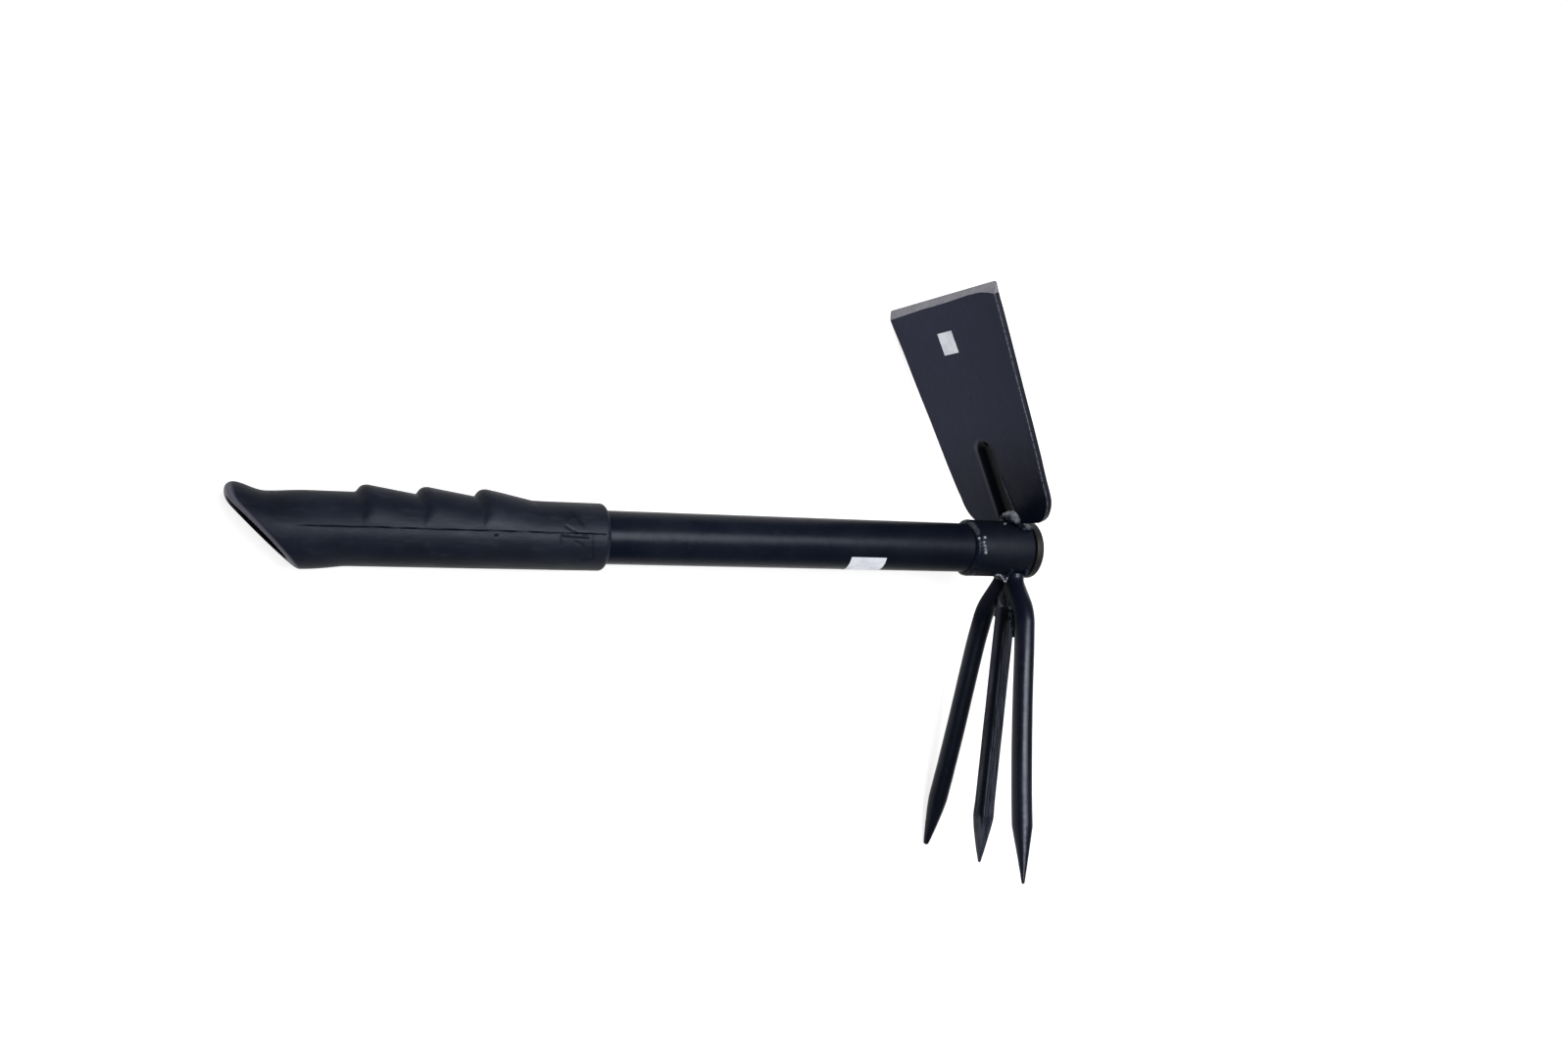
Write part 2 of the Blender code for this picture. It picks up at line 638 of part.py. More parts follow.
def crotch_weld():
    """The fill between the shoulders of the outer tines, over the end of the middle one."""
    bottom = middle_tine_top() - GAP
    lean = (OUTER_TINE_LEAN + MIDDLE_TINE_LEAN) / 2
    steps = 6
    path = []
    for i in range(steps + 1):
        down = bottom - CROTCH_FILL_LENGTH * (1 - i / steps)
        path.append(Vector((TINE_ROOT_X - lean * down, -down, 0)))
    return bead("weld_crotch", path, CROTCH_FILL_RADIUS)


def box_on_blade(name, size, centre):
    """A box set square to the plate. Its size and centre run across, along and out of the inner face."""
    bpy.ops.mesh.primitive_cube_add(size=MM)
    box = bpy.context.object
    box.name = box.data.name = name
    for collection in list(box.users_collection):
        collection.objects.unlink(box)
    tool_parts.objects.link(box)
    box.data.transform(Matrix.Diagonal((*size, 1)))
    box.matrix_local = blade_matrix() @ Matrix.Translation(Vector(centre) * MM)
    return box


def plate_side_cutter(name, side):
    """Keeps a bead on one side of the plate's middle plane, where the two would meet under its lower edge."""
    size = 4 * SOCKET_RADIUS
    middle = -BLADE_THICKNESS / 2
    return as_cutter(box_on_blade(name, (size, size, size), (0, 0, middle + side * (size - GAP) / 2)))


def blade_label():
    """A bare sticker on the blade's inner face."""
    size = (BLADE_LABEL_WIDTH, BLADE_LABEL_HEIGHT, LABEL_THICKNESS)
    centre = (BLADE_LABEL_ACROSS, BLADE_REACH - BLADE_LABEL_SETBACK, GAP + LABEL_THICKNESS / 2)
    return box_on_blade("label_blade", size, centre)


def handle_label():
    """A bare sticker wrapped round the lower side of the tube."""
    radius = TUBE_RADIUS + GAP
    head = SOCKET_TAIL_X - HANDLE_LABEL_SETBACK
    label = turned(
        "label_handle", [(head, radius), (head - HANDLE_LABEL_LENGTH, radius)],
        closed=False, angle=HANDLE_LABEL_TURN, start=HANDLE_LABEL_START)
    sheet = label.modifiers.new("sheet", "SOLIDIFY")
    sheet.thickness = LABEL_THICKNESS * MM
    sheet.offset = 1
    return label


def lying_matrix(things):
    """The turn and shift that lay the tool down on its -Z side, on the hull facet under its middle."""
    graph = bpy.context.evaluated_depsgraph_get()
    hull = bmesh.new()
    for thing in things:
        mesh = thing.evaluated_get(graph).to_mesh()
        for vertex in mesh.vertices:
            hull.verts.new(thing.matrix_world @ vertex.co)
        thing.evaluated_get(graph).to_mesh_clear()
    bmesh.ops.convex_hull(hull, input=hull.verts)
    middle = Vector((TUBE_BUTT_X / 2, 0, 0)) * MM
    down = min(
        (face for face in hull.faces if face.normal.z < 0),
        key=lambda face: (face.calc_center_median() - middle).xy.length / face.calc_area())
    floor_up = -down.normal
    along = (Vector((1, 0, 0)) - floor_up.x * floor_up).normalized()
    turn = Matrix((along, floor_up.cross(along), floor_up)).to_4x4()
    points = [turn @ vertex.co for vertex in hull.verts]
    hull.free()
    low = Vector([min(p[i] for p in points) for i in range(3)])
    high = Vector([max(p[i] for p in points) for i in range(3)])
    return Matrix.Translation((-(low.x + high.x) / 2, -(low.y + high.y) / 2, -low.z)) @ turn


clear_scene()
tool_parts = new_collection("digging_hoe")
cutters = new_collection("cutters")
cutters.hide_render = True

paint = new_material("black_paint", PAINT_BLACK, 0.35)
rubber = new_material("grip_rubber", GRIP_BLACK, 0.55)
plug_plastic = new_material("plug_plastic", PLUG_BROWN, 0.5)
foil = new_material("label_foil", LABEL_SILVER, 0.3, 0.6)

socket_cut, tube_cut = socket_clearance(), tube_clearance()
blade_cut = as_cutter(blade_plate("blade_clearance", GAP))
outer_paths = {"tine_upper": outer_tine_path(1), "tine_lower": outer_tine_path(-1)}
tine_cuts = [
    as_cutter(pointed_bar(name + "_clearance", path, TINE_RADIUS, UPPER_POINT, clearance=GAP))
    for name, path in outer_paths.items()]

painted = [handle_tube(), socket(), blade_plate("blade")]
for (name, path), point in zip(outer_paths.items(), (UPPER_POINT, LOWER_POINT)):
    tine = pointed_bar(name, path, TINE_RADIUS, point)
    cut(tine, socket_cut)
    painted.append(tine)
painted.append(pointed_bar(
    "tine_middle", middle_tine_path(), MIDDLE_TINE_RADIUS, MIDDLE_POINT, MIDDLE_TINE_SQUARENESS))

socket_weld = ring_bead()
cut(socket_weld, tube_cut, socket_cut)
blade_welds = blade_beads()
for weld, side in zip(blade_welds, (-1, 1)):
    cut(weld, socket_cut, blade_cut, plate_side_cutter("behind_" + weld.name, side))
fork_welds = fork_beads()
for weld in fork_welds:
    cut(weld, socket_cut, *tine_cuts)
crotch = crotch_weld()
cut(crotch, *tine_cuts)
painted += [socket_weld, *blade_welds, *fork_welds, crotch]

labels = [blade_label(), handle_label()]
for material, things in ((paint, painted), (rubber, [grip()]), (plug_plastic, [end_plug()]), (foil, labels)):
    for thing in things:
        thing.data.materials.append(material)

bpy.context.view_layer.update()
rest = bpy.data.objects.new("tool_at_rest", None)
tool_parts.objects.link(rest)
rest.matrix_world = lying_matrix([thing for thing in tool_parts.objects if thing.type == "MESH"])
for thing in [*tool_parts.objects, *cutters.objects]:
    if thing != rest:
        thing.parent = rest
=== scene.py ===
"""Looks of the hand digging hoe: finer skins for every piece, procedural materials, floor, light and camera.

Shapes are worked out in the tool's own directions and in millimetres, with the origin at the end of the
handle by the head: X along the handle from the grip to the head, Y up the blade, Z across. They are then
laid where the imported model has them.
"""

import json
import math
from functools import cached_property

import bmesh
import bpy
import numpy as np
from mathutils import Matrix, Vector, noise


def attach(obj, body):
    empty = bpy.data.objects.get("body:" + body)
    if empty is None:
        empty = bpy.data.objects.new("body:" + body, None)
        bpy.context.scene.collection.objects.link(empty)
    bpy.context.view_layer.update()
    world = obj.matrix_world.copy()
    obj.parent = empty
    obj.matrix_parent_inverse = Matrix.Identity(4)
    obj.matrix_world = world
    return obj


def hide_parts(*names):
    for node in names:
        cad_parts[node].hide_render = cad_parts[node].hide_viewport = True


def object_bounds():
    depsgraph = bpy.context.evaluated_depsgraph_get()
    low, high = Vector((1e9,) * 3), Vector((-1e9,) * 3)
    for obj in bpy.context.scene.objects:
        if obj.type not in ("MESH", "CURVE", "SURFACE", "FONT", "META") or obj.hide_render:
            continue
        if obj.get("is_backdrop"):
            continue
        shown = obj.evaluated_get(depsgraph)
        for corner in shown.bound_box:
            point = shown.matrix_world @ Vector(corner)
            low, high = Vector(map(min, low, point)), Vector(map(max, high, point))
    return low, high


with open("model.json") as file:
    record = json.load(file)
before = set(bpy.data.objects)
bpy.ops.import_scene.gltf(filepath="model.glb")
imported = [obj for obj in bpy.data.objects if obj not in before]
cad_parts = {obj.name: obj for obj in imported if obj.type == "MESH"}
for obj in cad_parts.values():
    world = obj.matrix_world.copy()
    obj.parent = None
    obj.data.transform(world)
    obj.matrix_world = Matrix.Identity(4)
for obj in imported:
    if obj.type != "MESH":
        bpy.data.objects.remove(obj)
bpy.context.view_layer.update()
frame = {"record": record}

MM = 0.001

# Sizes of the model, in millimetres, as the CAD has them
GAP = 0.3
TUBE_RADIUS = 12.7
TUBE_WALL = 1.5
TUBE_HEAD_X, TUBE_BUTT_X = -4.6, -362.0
SOCKET_RADIUS = 14.8
SOCKET_HEAD_X, SOCKET_TAIL_X = -4.6, -37.6
PLUG_RADIUS, PLUG_FLANGE, PLUG_ROUND, PLUG_STEM, PLUG_STEM_WALL = 15.3, 4.3, 1.2, 9.0, 1.6
BLADE_THICKNESS = 3.0
BLADE_LEAN = math.radians(22.2)
BLADE_FOOT_X = -7.0
BLADE_REACH = 140.2
BLADE_BASE = 14.4
BLADE_EDGE_WIDTH = 109.9
BLADE_TAPER = 0.121
BLADE_CORNER_RADIUS = 13.8
BLADE_NEAR_REACH, BLADE_FAR_REACH = BLADE_REACH - 0.7, BLADE_REACH + 0.3
GRIND_START, GRIND_LAND = 131.0, 0.6
ARRIS = 0.45
RIB_TOP, RIB_WIDTH, RIB_DEPTH, RIB_OFFSET = 62.0, 15.0, 3.0, -1.5
# The share of the groove's half width that each wall takes up, and what its round end adds to the near one
RIB_NEAR_WALL, RIB_FAR_WALL, RIB_END_WALL = 0.36, 0.72, 0.34
# Places along the plate: the lip by the groove spreads below the first and ends at the next, its painted shade
# ends at the third, and the painted sheen at the far rim ends at the last
RIB_LIP_SPREAD, RIB_LIP_TOP, RIB_SHADE_TOP, RIM_LINE_TOP = 40, 44, 48, 64
TINE_RADIUS, MIDDLE_TINE_RADIUS = 5.2, 5.25
TINE_ROOT_X = -10.4
OUTER_TINE_LEAN, MIDDLE_TINE_LEAN = 0.128, 0.099
TINE_LENGTH = 150.5
NECK_LENGTH, SHOULDER_DROP, SHOULDER_RUN, SPREAD = 2.9, 15.5, 14.4, 29.7
NECK_BEND_RADIUS, SHOULDER_BEND_RADIUS = 7.0, 22.0
MIDDLE_TINE_TOP = 31.2
TINE_ROOT_DEPTH = 1.6
GRIP_BORE, GRIP_RADIUS = 13.0, 15.8
BUTT_X, GRIP_FRONT_X = -389.5, -235.6
GRIP_CUFF_LENGTH, GRIP_CUFF_ROUND, GRIP_CUFF_RISE, GRIP_PALM_RISE = 28.0, 2.6, 0.1, 1.1
RIDGE_FIRST_X, RIDGE_COUNT, RIDGE_PITCH, RIDGE_HEIGHT, RIDGE_FACE = -290.6, 3, 25.9, 3.3, 5.5
RIDGE_FADE = 1.5
BUTT_TURN_HEIGHT, BUTT_TURN_REACH, BUTT_SLANT_LENGTH, BUTT_FLARE_LENGTH = 8.0, 5.0, 42.0, 34.0
BUTT_SKEW = 0.04
LIP_TOP_RISE, LIP_BOTTOM_RISE, LIP_SIDE_RISE, LIP_LENGTH = 3.6, 1.6, 0.8, 11.0
LIP_ROUND_TOP, LIP_ROUND_BOTTOM = 3.5, 1.2
NECK_RISE, NECK_REACH = 0.2, 13.0
PARTING_HEIGHT, PARTING_START_X, PARTING_TORN_X = 1.4, -376.0, -266.0
CUFF_LINE_X = -243.4
GRIP_RINGS = 260
BLADE_STICKER = (-10.2, 4.0, 109.6, 121.6)  # far end, near end, lowest and highest place on the plate
HANDLE_STICKER_X, HANDLE_STICKER_LENGTH = -91.2, 19.6
HANDLE_STICKER_TURN, HANDLE_STICKER_WRAP = 120, 90  # in degrees from the blade's side

# The camera in the tool's directions: where it stands, and its turns about X, Y and Z
CAMERA_PLACE = (-421.4, -4.5, 640.8)
CAMERA_TURNS = (0.954, -23.467, 1.852)
CAMERA_LENS = 32.38
CAMERA_SENSOR = 36.0

FLOOR_SIZE = 12.0  # in metres


def tool_directions():
    """The tool's origin and its three directions in the scene, from the two mounts of the record."""
    mounts = {mount["name"]: mount for mount in frame["record"]["mounts"]}
    along = Vector(mounts["end_face"]["axis"]).normalized()
    out_of_blade = -Vector(mounts["blade_back"]["axis"])
    across = out_of_blade.cross(along).normalized()
    turn = Matrix((along, across.cross(along), across)).transposed()
    return Vector(mounts["end_face"]["pos_m"]), turn


TOOL_ORIGIN, TOOL_TURN = tool_directions()
TURN, ORIGIN = np.array(TOOL_TURN), np.array(TOOL_ORIGIN)
BLADE_ALONG = np.array((-math.sin(BLADE_LEAN), math.cos(BLADE_LEAN), 0.0))
BLADE_OUT = np.array((-math.cos(BLADE_LEAN), -math.sin(BLADE_LEAN), 0.0))


def off_blade(across, along, out):
    """Tool coordinates of points given across the plate, along it from the axis, and out of its inner face."""
    foot = np.array((BLADE_FOOT_X, 0.0, 0.0))
    across, along, out = np.broadcast_arrays(*(np.asarray(v, float)[..., None] for v in (across, along, out)))
    return foot + across * np.array((0.0, 0.0, 1.0)) + along * BLADE_ALONG + out * BLADE_OUT


def smooth(share):
    """Eases from 0 to 1."""
    share = np.clip(share, 0, 1)
    return share * share * (3 - 2 * share)


def bell(off, width):
    """1 in the middle, and down to 0 well past the width."""
    return np.exp(-((off / width) ** 2))


def wander(seed, places, scale, octaves=3):
    """Smooth noise from -1 to 1 at each place, the same at each run."""
    places = np.asarray(places, float)
    flat = places.reshape(-1, places.shape[-1]) / scale
    shift = Vector((seed * 17.3, seed * 5.1, seed * 9.7))
    found = [noise.fractal(Vector(p) + shift, 0.6, 2.1, octaves) for p in flat]
    return np.array(found).reshape(places.shape[:-1])


def wander_along(seed, values, scale, octaves=3):
    values = np.asarray(values, float)
    return wander(seed, np.stack([values, values * 0, values * 0], -1), scale, octaves)


def put_in_scene(name, data):
    thing = bpy.data.objects.new(name, data)
    bpy.context.scene.collection.objects.link(thing)
    return thing


def round_handle(x, radius, turn):
    """A point, or a row of points, at a radius from the handle's axis and a turn from the blade's side."""
    return np.stack(np.broadcast_arrays(x, radius * math.cos(turn), radius * math.sin(turn)), -1)


# ---- pieces

def lay_down(name, node, points, faces, material, slot="black_paint", crease=32, masks=None):
    """A piece of the tool from points in millimetres, in place of a CAD node. Each mask has a value per point."""
    points = np.asarray(points, float).reshape(-1, 3)
    mesh = bpy.data.meshes.new(name)
    mesh.from_pydata((points @ TURN.T * MM + ORIGIN).tolist(), [], [tuple(face) for face in faces])
    shape = bmesh.new()
    shape.from_mesh(mesh)
    bmesh.ops.recalc_face_normals(shape, faces=shape.faces)
    shape.to_mesh(mesh)
    shape.free()
    place = mesh.attributes.new("place", "FLOAT_VECTOR", "POINT")
    place.data.foreach_set("vector", points.astype(np.float32).ravel())
    for mask, values in (masks or {}).items():
        values = np.asarray(values, np.float32).reshape(len(points), -1)
        kind, part = ("FLOAT", "value") if values.shape[1] == 1 else ("FLOAT_VECTOR", "vector")
        mesh.attributes.new(mask, kind, "POINT").data.foreach_set(part, values.ravel())
    mesh.materials.append(material)
    mesh.shade_smooth()
    mesh.set_sharp_from_angle(angle=math.radians(crease))
    piece = put_in_scene(name, mesh)
    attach(piece, "root")
    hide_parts(node)


def skin(rings, joined=False):
    """Points and faces of a skin through rings of equally many points, capped or joined end to end."""
    rings = np.asarray(rings, float)
    count, sides = rings.shape[:2]
    faces = []
    for i in range(count if joined else count - 1):
        here, there = i * sides, (i + 1) % count * sides
        for j in range(sides):
            k = (j + 1) % sides
            faces.append((here + j, here + k, there + k, there + j))
    if not joined:
        faces.append(tuple(range(sides))[::-1])
        faces.append(tuple(range((count - 1) * sides, count * sides)))
    return rings.reshape(-1, 3), faces


def turned(profile, sides=160):
    """A closed outline of (place along the handle, radius) points, turned about the handle."""
    x, radius = np.asarray(profile, float).T
    turns = np.linspace(0, 2 * math.pi, sides, endpoint=False)
    return skin([round_handle(x, radius, turn) for turn in turns], joined=True)


def rounded(corner_x, corner_r, from_turn, to_turn, radius, steps=6):
    """Points on the arc of a rounded corner whose centre is given."""
    turns = np.linspace(math.radians(from_turn), math.radians(to_turn), steps)
    return [(corner_x + radius * math.cos(t), corner_r + radius * math.sin(t)) for t in turns]


def pipe(name, node, head, tail, outer, inner, edge, shares):
    """A length of pipe along the handle with its outer ends rounded, and with rings at the given shares of it."""
    profile = (rounded(head - edge, outer - edge, 0, 90, edge)
               + [(head + (tail - head) * share, outer) for share in shares]
               + rounded(tail + edge, outer - edge, 90, 180, edge)
               + [(tail, inner), (head, inner)])
    lay_down(name, node, *turned(profile), enamel)


def end_plug():
    stem = TUBE_RADIUS - TUBE_WALL - GAP
    axis = 0.02
    end, floor = -PLUG_FLANGE - PLUG_STEM, -PLUG_FLANGE + PLUG_STEM_WALL
    profile = ([(0, axis), (-0.05, 9.0)]
               + rounded(-PLUG_ROUND, PLUG_RADIUS - PLUG_ROUND, 0, 90, PLUG_ROUND, 10)
               + rounded(-PLUG_FLANGE + 0.5, PLUG_RADIUS - 0.5, 90, 180, 0.5, 5)
               + [(-PLUG_FLANGE, stem), (end, stem), (end, stem - PLUG_STEM_WALL),
                  (floor, stem - PLUG_STEM_WALL), (floor, axis)])
    lay_down("plug_fine", "end_plug", *turned(profile), plug_plastic, "plug_plastic")


# ---- blade

def grind_line(across):
    """Where the ground bevel starts, along the plate: uneven, and lower at the near corner."""
    places = (-54, -44, -30, -18, -4, 12, 20, 26, 37, 42, 47, 52, 55)
    starts = (135.7, 135.9, 136.1, 136.35, 136.2, 136.2, 136.45, 136.6, 136.4, 135.9, 135.0, 133.5, 132.4)
    return np.interp(across, places, starts) + 0.10 * wander_along(3, across, 6.0)


def cutting_edge(across):
    """How far the edge reaches: it was ground a touch shorter at the near side."""
    reach = np.interp(across, (-55, 52), (BLADE_FAR_REACH, BLADE_NEAR_REACH))
    for end, radius in ((-half_width(BLADE_REACH, False), 1.4), (half_width(BLADE_REACH, True), 2.6)):
        into = np.clip(radius - np.abs(across - end), 0, radius)
        reach = reach - radius + np.sqrt(radius**2 - into**2)
    return reach - 0.10 * np.abs(wander_along(5, across, 3.0))


# How far each side of the plate stands out from its even taper, at places along it
NEAR_SIDE = ((20, 25, 30, 36, 42, 48, 65, 78, 90, 109, 125, 131),
             (-0.4, 0.24, 0.38, 0.22, 0.22, 0.45, 0.25, -0.2, -0.52, -0.9, -1.4, -1.8))
FAR_SIDE = ((20, 25, 30, 36, 42, 48, 65, 78, 90, 100, 109, 117, 131),
            (-0.2, -0.5, -0.6, 0.0, 0.2, 0.4, 0.24, 0.15, 0.38, 0.45, 0.25, 0.1, 0.55))


def half_width(along, near):
    """Half the plate's width at a place along it. It was cut and pressed a touch unevenly."""
    half = BLADE_EDGE_WIDTH / 2 - BLADE_TAPER * (BLADE_REACH - along)
    half = half + np.interp(along, *(NEAR_SIDE if near else FAR_SIDE))
    into_corner = np.maximum(0, BLADE_BASE + BLADE_CORNER_RADIUS - along)
    return half - (BLADE_CORNER_RADIUS - np.sqrt(np.maximum(0, BLADE_CORNER_RADIUS**2 - into_corner**2)))


def rib_apart(across, along):
    """How far a place is from the middle line of the pressed groove, and how far it is past that line's end."""
    past_end = np.maximum(0, along - (RIB_TOP - RIB_WIDTH / 2))
    return np.hypot(across - RIB_OFFSET, past_end), past_end


def rib_share(across, along):
    """How deep into the pressed groove a place is, from 0 at its rim to 1 along its floor."""
    half = RIB_WIDTH / 2
    apart, past_end = rib_apart(across, along)
    near = across - RIB_OFFSET > 0
    steep = np.where(near, RIB_NEAR_WALL, RIB_FAR_WALL) + RIB_END_WALL * np.clip(past_end / half, 0, 1) * near
    return smooth((1 - apart / half) / steep)


def lip_middle(along):
    """Where the lip beside the groove is, across the plate."""
    return RIB_OFFSET + RIB_WIDTH / 2 + 0.9 + 2.6 * smooth((RIB_LIP_SPREAD - along) / 22)


def rim_ridge(across, along):
    """The lip pushed up beside the lower part of the groove, on its near side."""
    return bell(across - lip_middle(along), 0.6) * smooth((RIB_LIP_TOP - along) / 7)


def rim_sheen(across, along):
    """The painted sheen: a soft highlight painted where the plate turns into the groove, on its far side."""
    from_rim = RIB_WIDTH / 2 - rib_apart(across, along)[0]
    far_side = smooth((RIB_OFFSET + 1.0 - across) / 4)
    return bell(from_rim + 0.5, 0.9) * far_side * smooth((RIM_LINE_TOP - along) / 5)


def plate_side(end, outward, start, finish):
    """Eight points of the plate's side, as across and out: two rounded arrises with the cut side between them."""
    reach = ARRIS * outward
    inward = math.copysign(min(ARRIS, abs(finish - start) / 2.2), finish - start)
    turns = np.radians((22.5, 45, 67.5))
    points = [(end - reach + reach * math.sin(t), start + inward * (1 - math.cos(t))) for t in turns]
    points += [(end, start + inward), (end, finish - inward)]
    points += [(end - reach + reach * math.cos(t), finish - inward * (1 - math.sin(t))) for t in turns]
    return np.array(points).T


def around(face, near=0.0, back=0.0, far=0.0):
    """A mask's values in the order of a ring's points: inner face, near side, back and far side."""
    parts = ((face, len(face)), (near, 8), (back, len(face)), (far, 8))
    return np.concatenate([np.broadcast_to(values, count) for values, count in parts])


def carried(along, over, line, reach):
    """A place carried past the plain plate: as far as the grind line at 1, and as far as the cutting edge at 2."""
    return along + (line - along) * over if over <= 1 else line + (reach - line) * (over - 1)


def blade():
    """The pressed and ground plate, as rings round it from the foot to the cutting edge.

    Each station has its place along the plate, how far its ends are trimmed, and how far it is carried into the
    ground part.
    """
    corner_top = BLADE_BASE + BLADE_CORNER_RADIUS
    plain = [corner_top - BLADE_CORNER_RADIUS * math.cos(math.radians(a)) for a in range(10, 90, 4)]
    plain += [*np.linspace(corner_top, 66, 44), *np.linspace(68, GRIND_START, 22)]
    stations = [(BLADE_BASE, 0.8, 0), (BLADE_BASE + 0.2, 0.3, 0)] + [(along, 0, 0) for along in plain]
    stations += [(GRIND_START + 1e-6, 0, over) for over in (0.5, 0.9, 0.985, 1.0, 1.012, 1.15, 1.4, 1.7, 1.9, 2.0)]
    inner = np.linspace(RIB_OFFSET - RIB_WIDTH / 2, RIB_OFFSET + RIB_WIDTH / 2 + 5, 56)
    spread = np.linspace(0, 1, 22)
    spread = 0.75 * spread**2 + 0.25 * spread
    ends, end_reach = np.array((-55.0, 53.0)), np.array((BLADE_REACH, BLADE_NEAR_REACH))
    end_line = grind_line(ends)
    rings, masks = [], {mask: [] for mask in ("ground", "edge", "hollow", "sheen", "side")}
    for along, trim, over in stations:
        far_end, near_end = carried(along, over, end_line, end_reach)
        left = -half_width(far_end, False) + trim * 0.3
        right = half_width(near_end, True) - trim * 0.3
        across = np.concatenate([
            left + ARRIS + (inner[0] - left - ARRIS) * spread[:-1], inner,
            right - ARRIS - (right - ARRIS - inner[-1]) * spread[-2::-1]])
        line, reach = grind_line(across), cutting_edge(across)
        place = carried(along, over, line, reach)
        if not over:
            saddle = np.sqrt(np.maximum(0, SOCKET_RADIUS**2 - across**2)) / math.cos(BLADE_LEAN)
            in_corner = max(0, 1 - (along - BLADE_BASE) / BLADE_CORNER_RADIUS)
            place = place + np.maximum(0, saddle - BLADE_BASE) * in_corner
        past_line = np.clip((place - line) / (reach - line), 0, 1)
        ridge, pressed = rim_ridge(across, place), RIB_DEPTH * rib_share(across, place)
        front = 0.45 * ridge - pressed - trim / 2 - (BLADE_THICKNESS - GRIND_LAND) * past_line
        back = -BLADE_THICKNESS - pressed + trim / 2
        near_across, near_out = plate_side(right, 1, front[-1], back[-1])
        far_across, far_out = plate_side(left, -1, back[0], front[0])
        rings.append(np.concatenate([
            off_blade(across, place, front), off_blade(near_across, place[-1], near_out),
            off_blade(across[::-1], place[::-1], back[::-1]), off_blade(far_across, place[0], far_out)]))
        bare = 1.0 if over > 1.01 else 0.0
        masks["ground"].append(around(np.full(len(across), bare), 0.4 * bare, 0.0, 0.5 * bare))
        to_edge = np.minimum(across - left, right - across)
        worn = np.exp(-np.maximum(0, to_edge - ARRIS) / 0.35)
        near_side = np.array((0.5, 1.0, 0.6, 0.0, 0.0, 0.0, 0.0, 0.2))
        # worn paint on the arrises, and a painted highlight along the crest of the lip
        masks["edge"].append(around(np.maximum(0.4 * worn, 0.9 * ridge**4), near_side, worn[::-1], near_side[::-1]))
        # painted shade in the pressed groove and behind the lip beside it
        shade_behind_lip = smooth((lip_middle(place) - 0.4 - across) / 0.5) * smooth((RIB_SHADE_TOP - place) / 5)
        wall = np.maximum.reduce([rib_share(across + aside, place) for aside in (0.9, 0.0, -1.1, -2.2)])
        masks["hollow"].append(around(np.maximum(smooth(5 * wall), shade_behind_lip * smooth((across - RIB_OFFSET) / 1.0))))
        masks["sheen"].append(around(rim_sheen(across, place)))
        # the cut sides and the back of the plate are painted darker, as shade
        masks["side"].append(around(across * 0, (0, 0, 1, 1, 1, 1, 1, 0.7), 0.7, 0.7))
    points, faces = skin(rings)
    from_foot = points - np.array((BLADE_FOOT_X, 0, 0))
    masks["plate"] = np.stack([points[:, 2], from_foot @ BLADE_ALONG, from_foot @ BLADE_OUT], -1)
    lay_down("blade_fine", "blade", points, faces, blade_enamel, crease=24, masks=masks)


# ---- tines

def rounded_path(corners, bend_radii, step=math.radians(3), stride=3.0):
    """The corner points joined by straight runs, with an arc of the given radius at each inner corner."""
    points = [Vector(corners[0])]
    for before, corner, after, radius in zip(corners, corners[1:], corners[2:], bend_radii):
        corner = Vector(corner)
        back = (Vector(before) - corner).normalized()
        ahead = (Vector(after) - corner).normalized()
        turn = math.pi - back.angle(ahead)
        reach = radius * math.tan(turn / 2)
        centre = corner + (back + ahead).normalized() * radius / math.cos(turn / 2)
        first, last = corner + back * reach - centre, corner + ahead * reach - centre
        count = max(2, math.ceil(turn / step))
        points += [centre + first.slerp(last, i / count) * radius for i in range(count + 1)]
    points.append(Vector(corners[-1]))
    path = [points[0]]
    for point in points[1:]:
        run = point - path[-1]
        count = max(1, math.ceil(run.length / stride))
        start = path[-1]
        path += [start + run * (i / count) for i in range(1, count + 1)]
    return path


# How far each outer tine stands out from its straight line, at places down from the handle's axis
UPPER_BOW = ((17, 20, 24, 28, 34, 42, 54, 66, 80, 100, 120, 132, 144, 156, 166),
             (0.0, 0.2, 0.9, 0.4, 0.3, 0.15, -0.05, -0.7, -1.25, -1.6, -1.5, -1.1, -0.4, 0.2, 0.4))
LOWER_BOW = ((17, 20, 24, 30, 36, 42, 50, 60, 72, 84, 96, 108, 122, 136, 150, 166),
             (-0.6, -1.3, -0.8, -0.75, -0.85, -0.5, 0.0, -0.25, -0.7, -1.15, -1.65, -1.85, -2.05, -1.9, -1.7, -1.3))


def bowed(path, side, bow):
    """The path moved across by the bow, which is smoothed over a few millimetres."""
    moved = []
    for point in path:
        out = sum(float(np.interp(-point.y + step, *bow)) for step in (-5, -2.5, 0, 2.5, 5)) / 5
        moved.append(Vector((point.x, point.y, point.z + side * out)))
    return moved


def outer_tine_path(side):
    root = TINE_RADIUS + GAP / 2
    neck = SOCKET_RADIUS + NECK_LENGTH
    corners = [
        (SOCKET_RADIUS - TINE_ROOT_DEPTH, root), (neck, root), (neck + SHOULDER_DROP, root + SHOULDER_RUN),
        (SOCKET_RADIUS + TINE_LENGTH, root + SHOULDER_RUN + SPREAD)]
    corners = [(TINE_ROOT_X - OUTER_TINE_LEAN * down, -down, side * out) for down, out in corners]
    path = rounded_path(corners, [NECK_BEND_RADIUS, SHOULDER_BEND_RADIUS])
    return bowed(path, side, UPPER_BOW if side > 0 else LOWER_BOW)


def middle_tine_path():
    ends = (MIDDLE_TINE_TOP, SOCKET_RADIUS + TINE_LENGTH)
    corners = [(TINE_ROOT_X - MIDDLE_TINE_LEAN * down, -down, 0) for down in ends]
    return bowed(rounded_path(corners, []), 1, ((30, 150, 156, 166), (0.0, 0.0, 0.25, 0.9)))


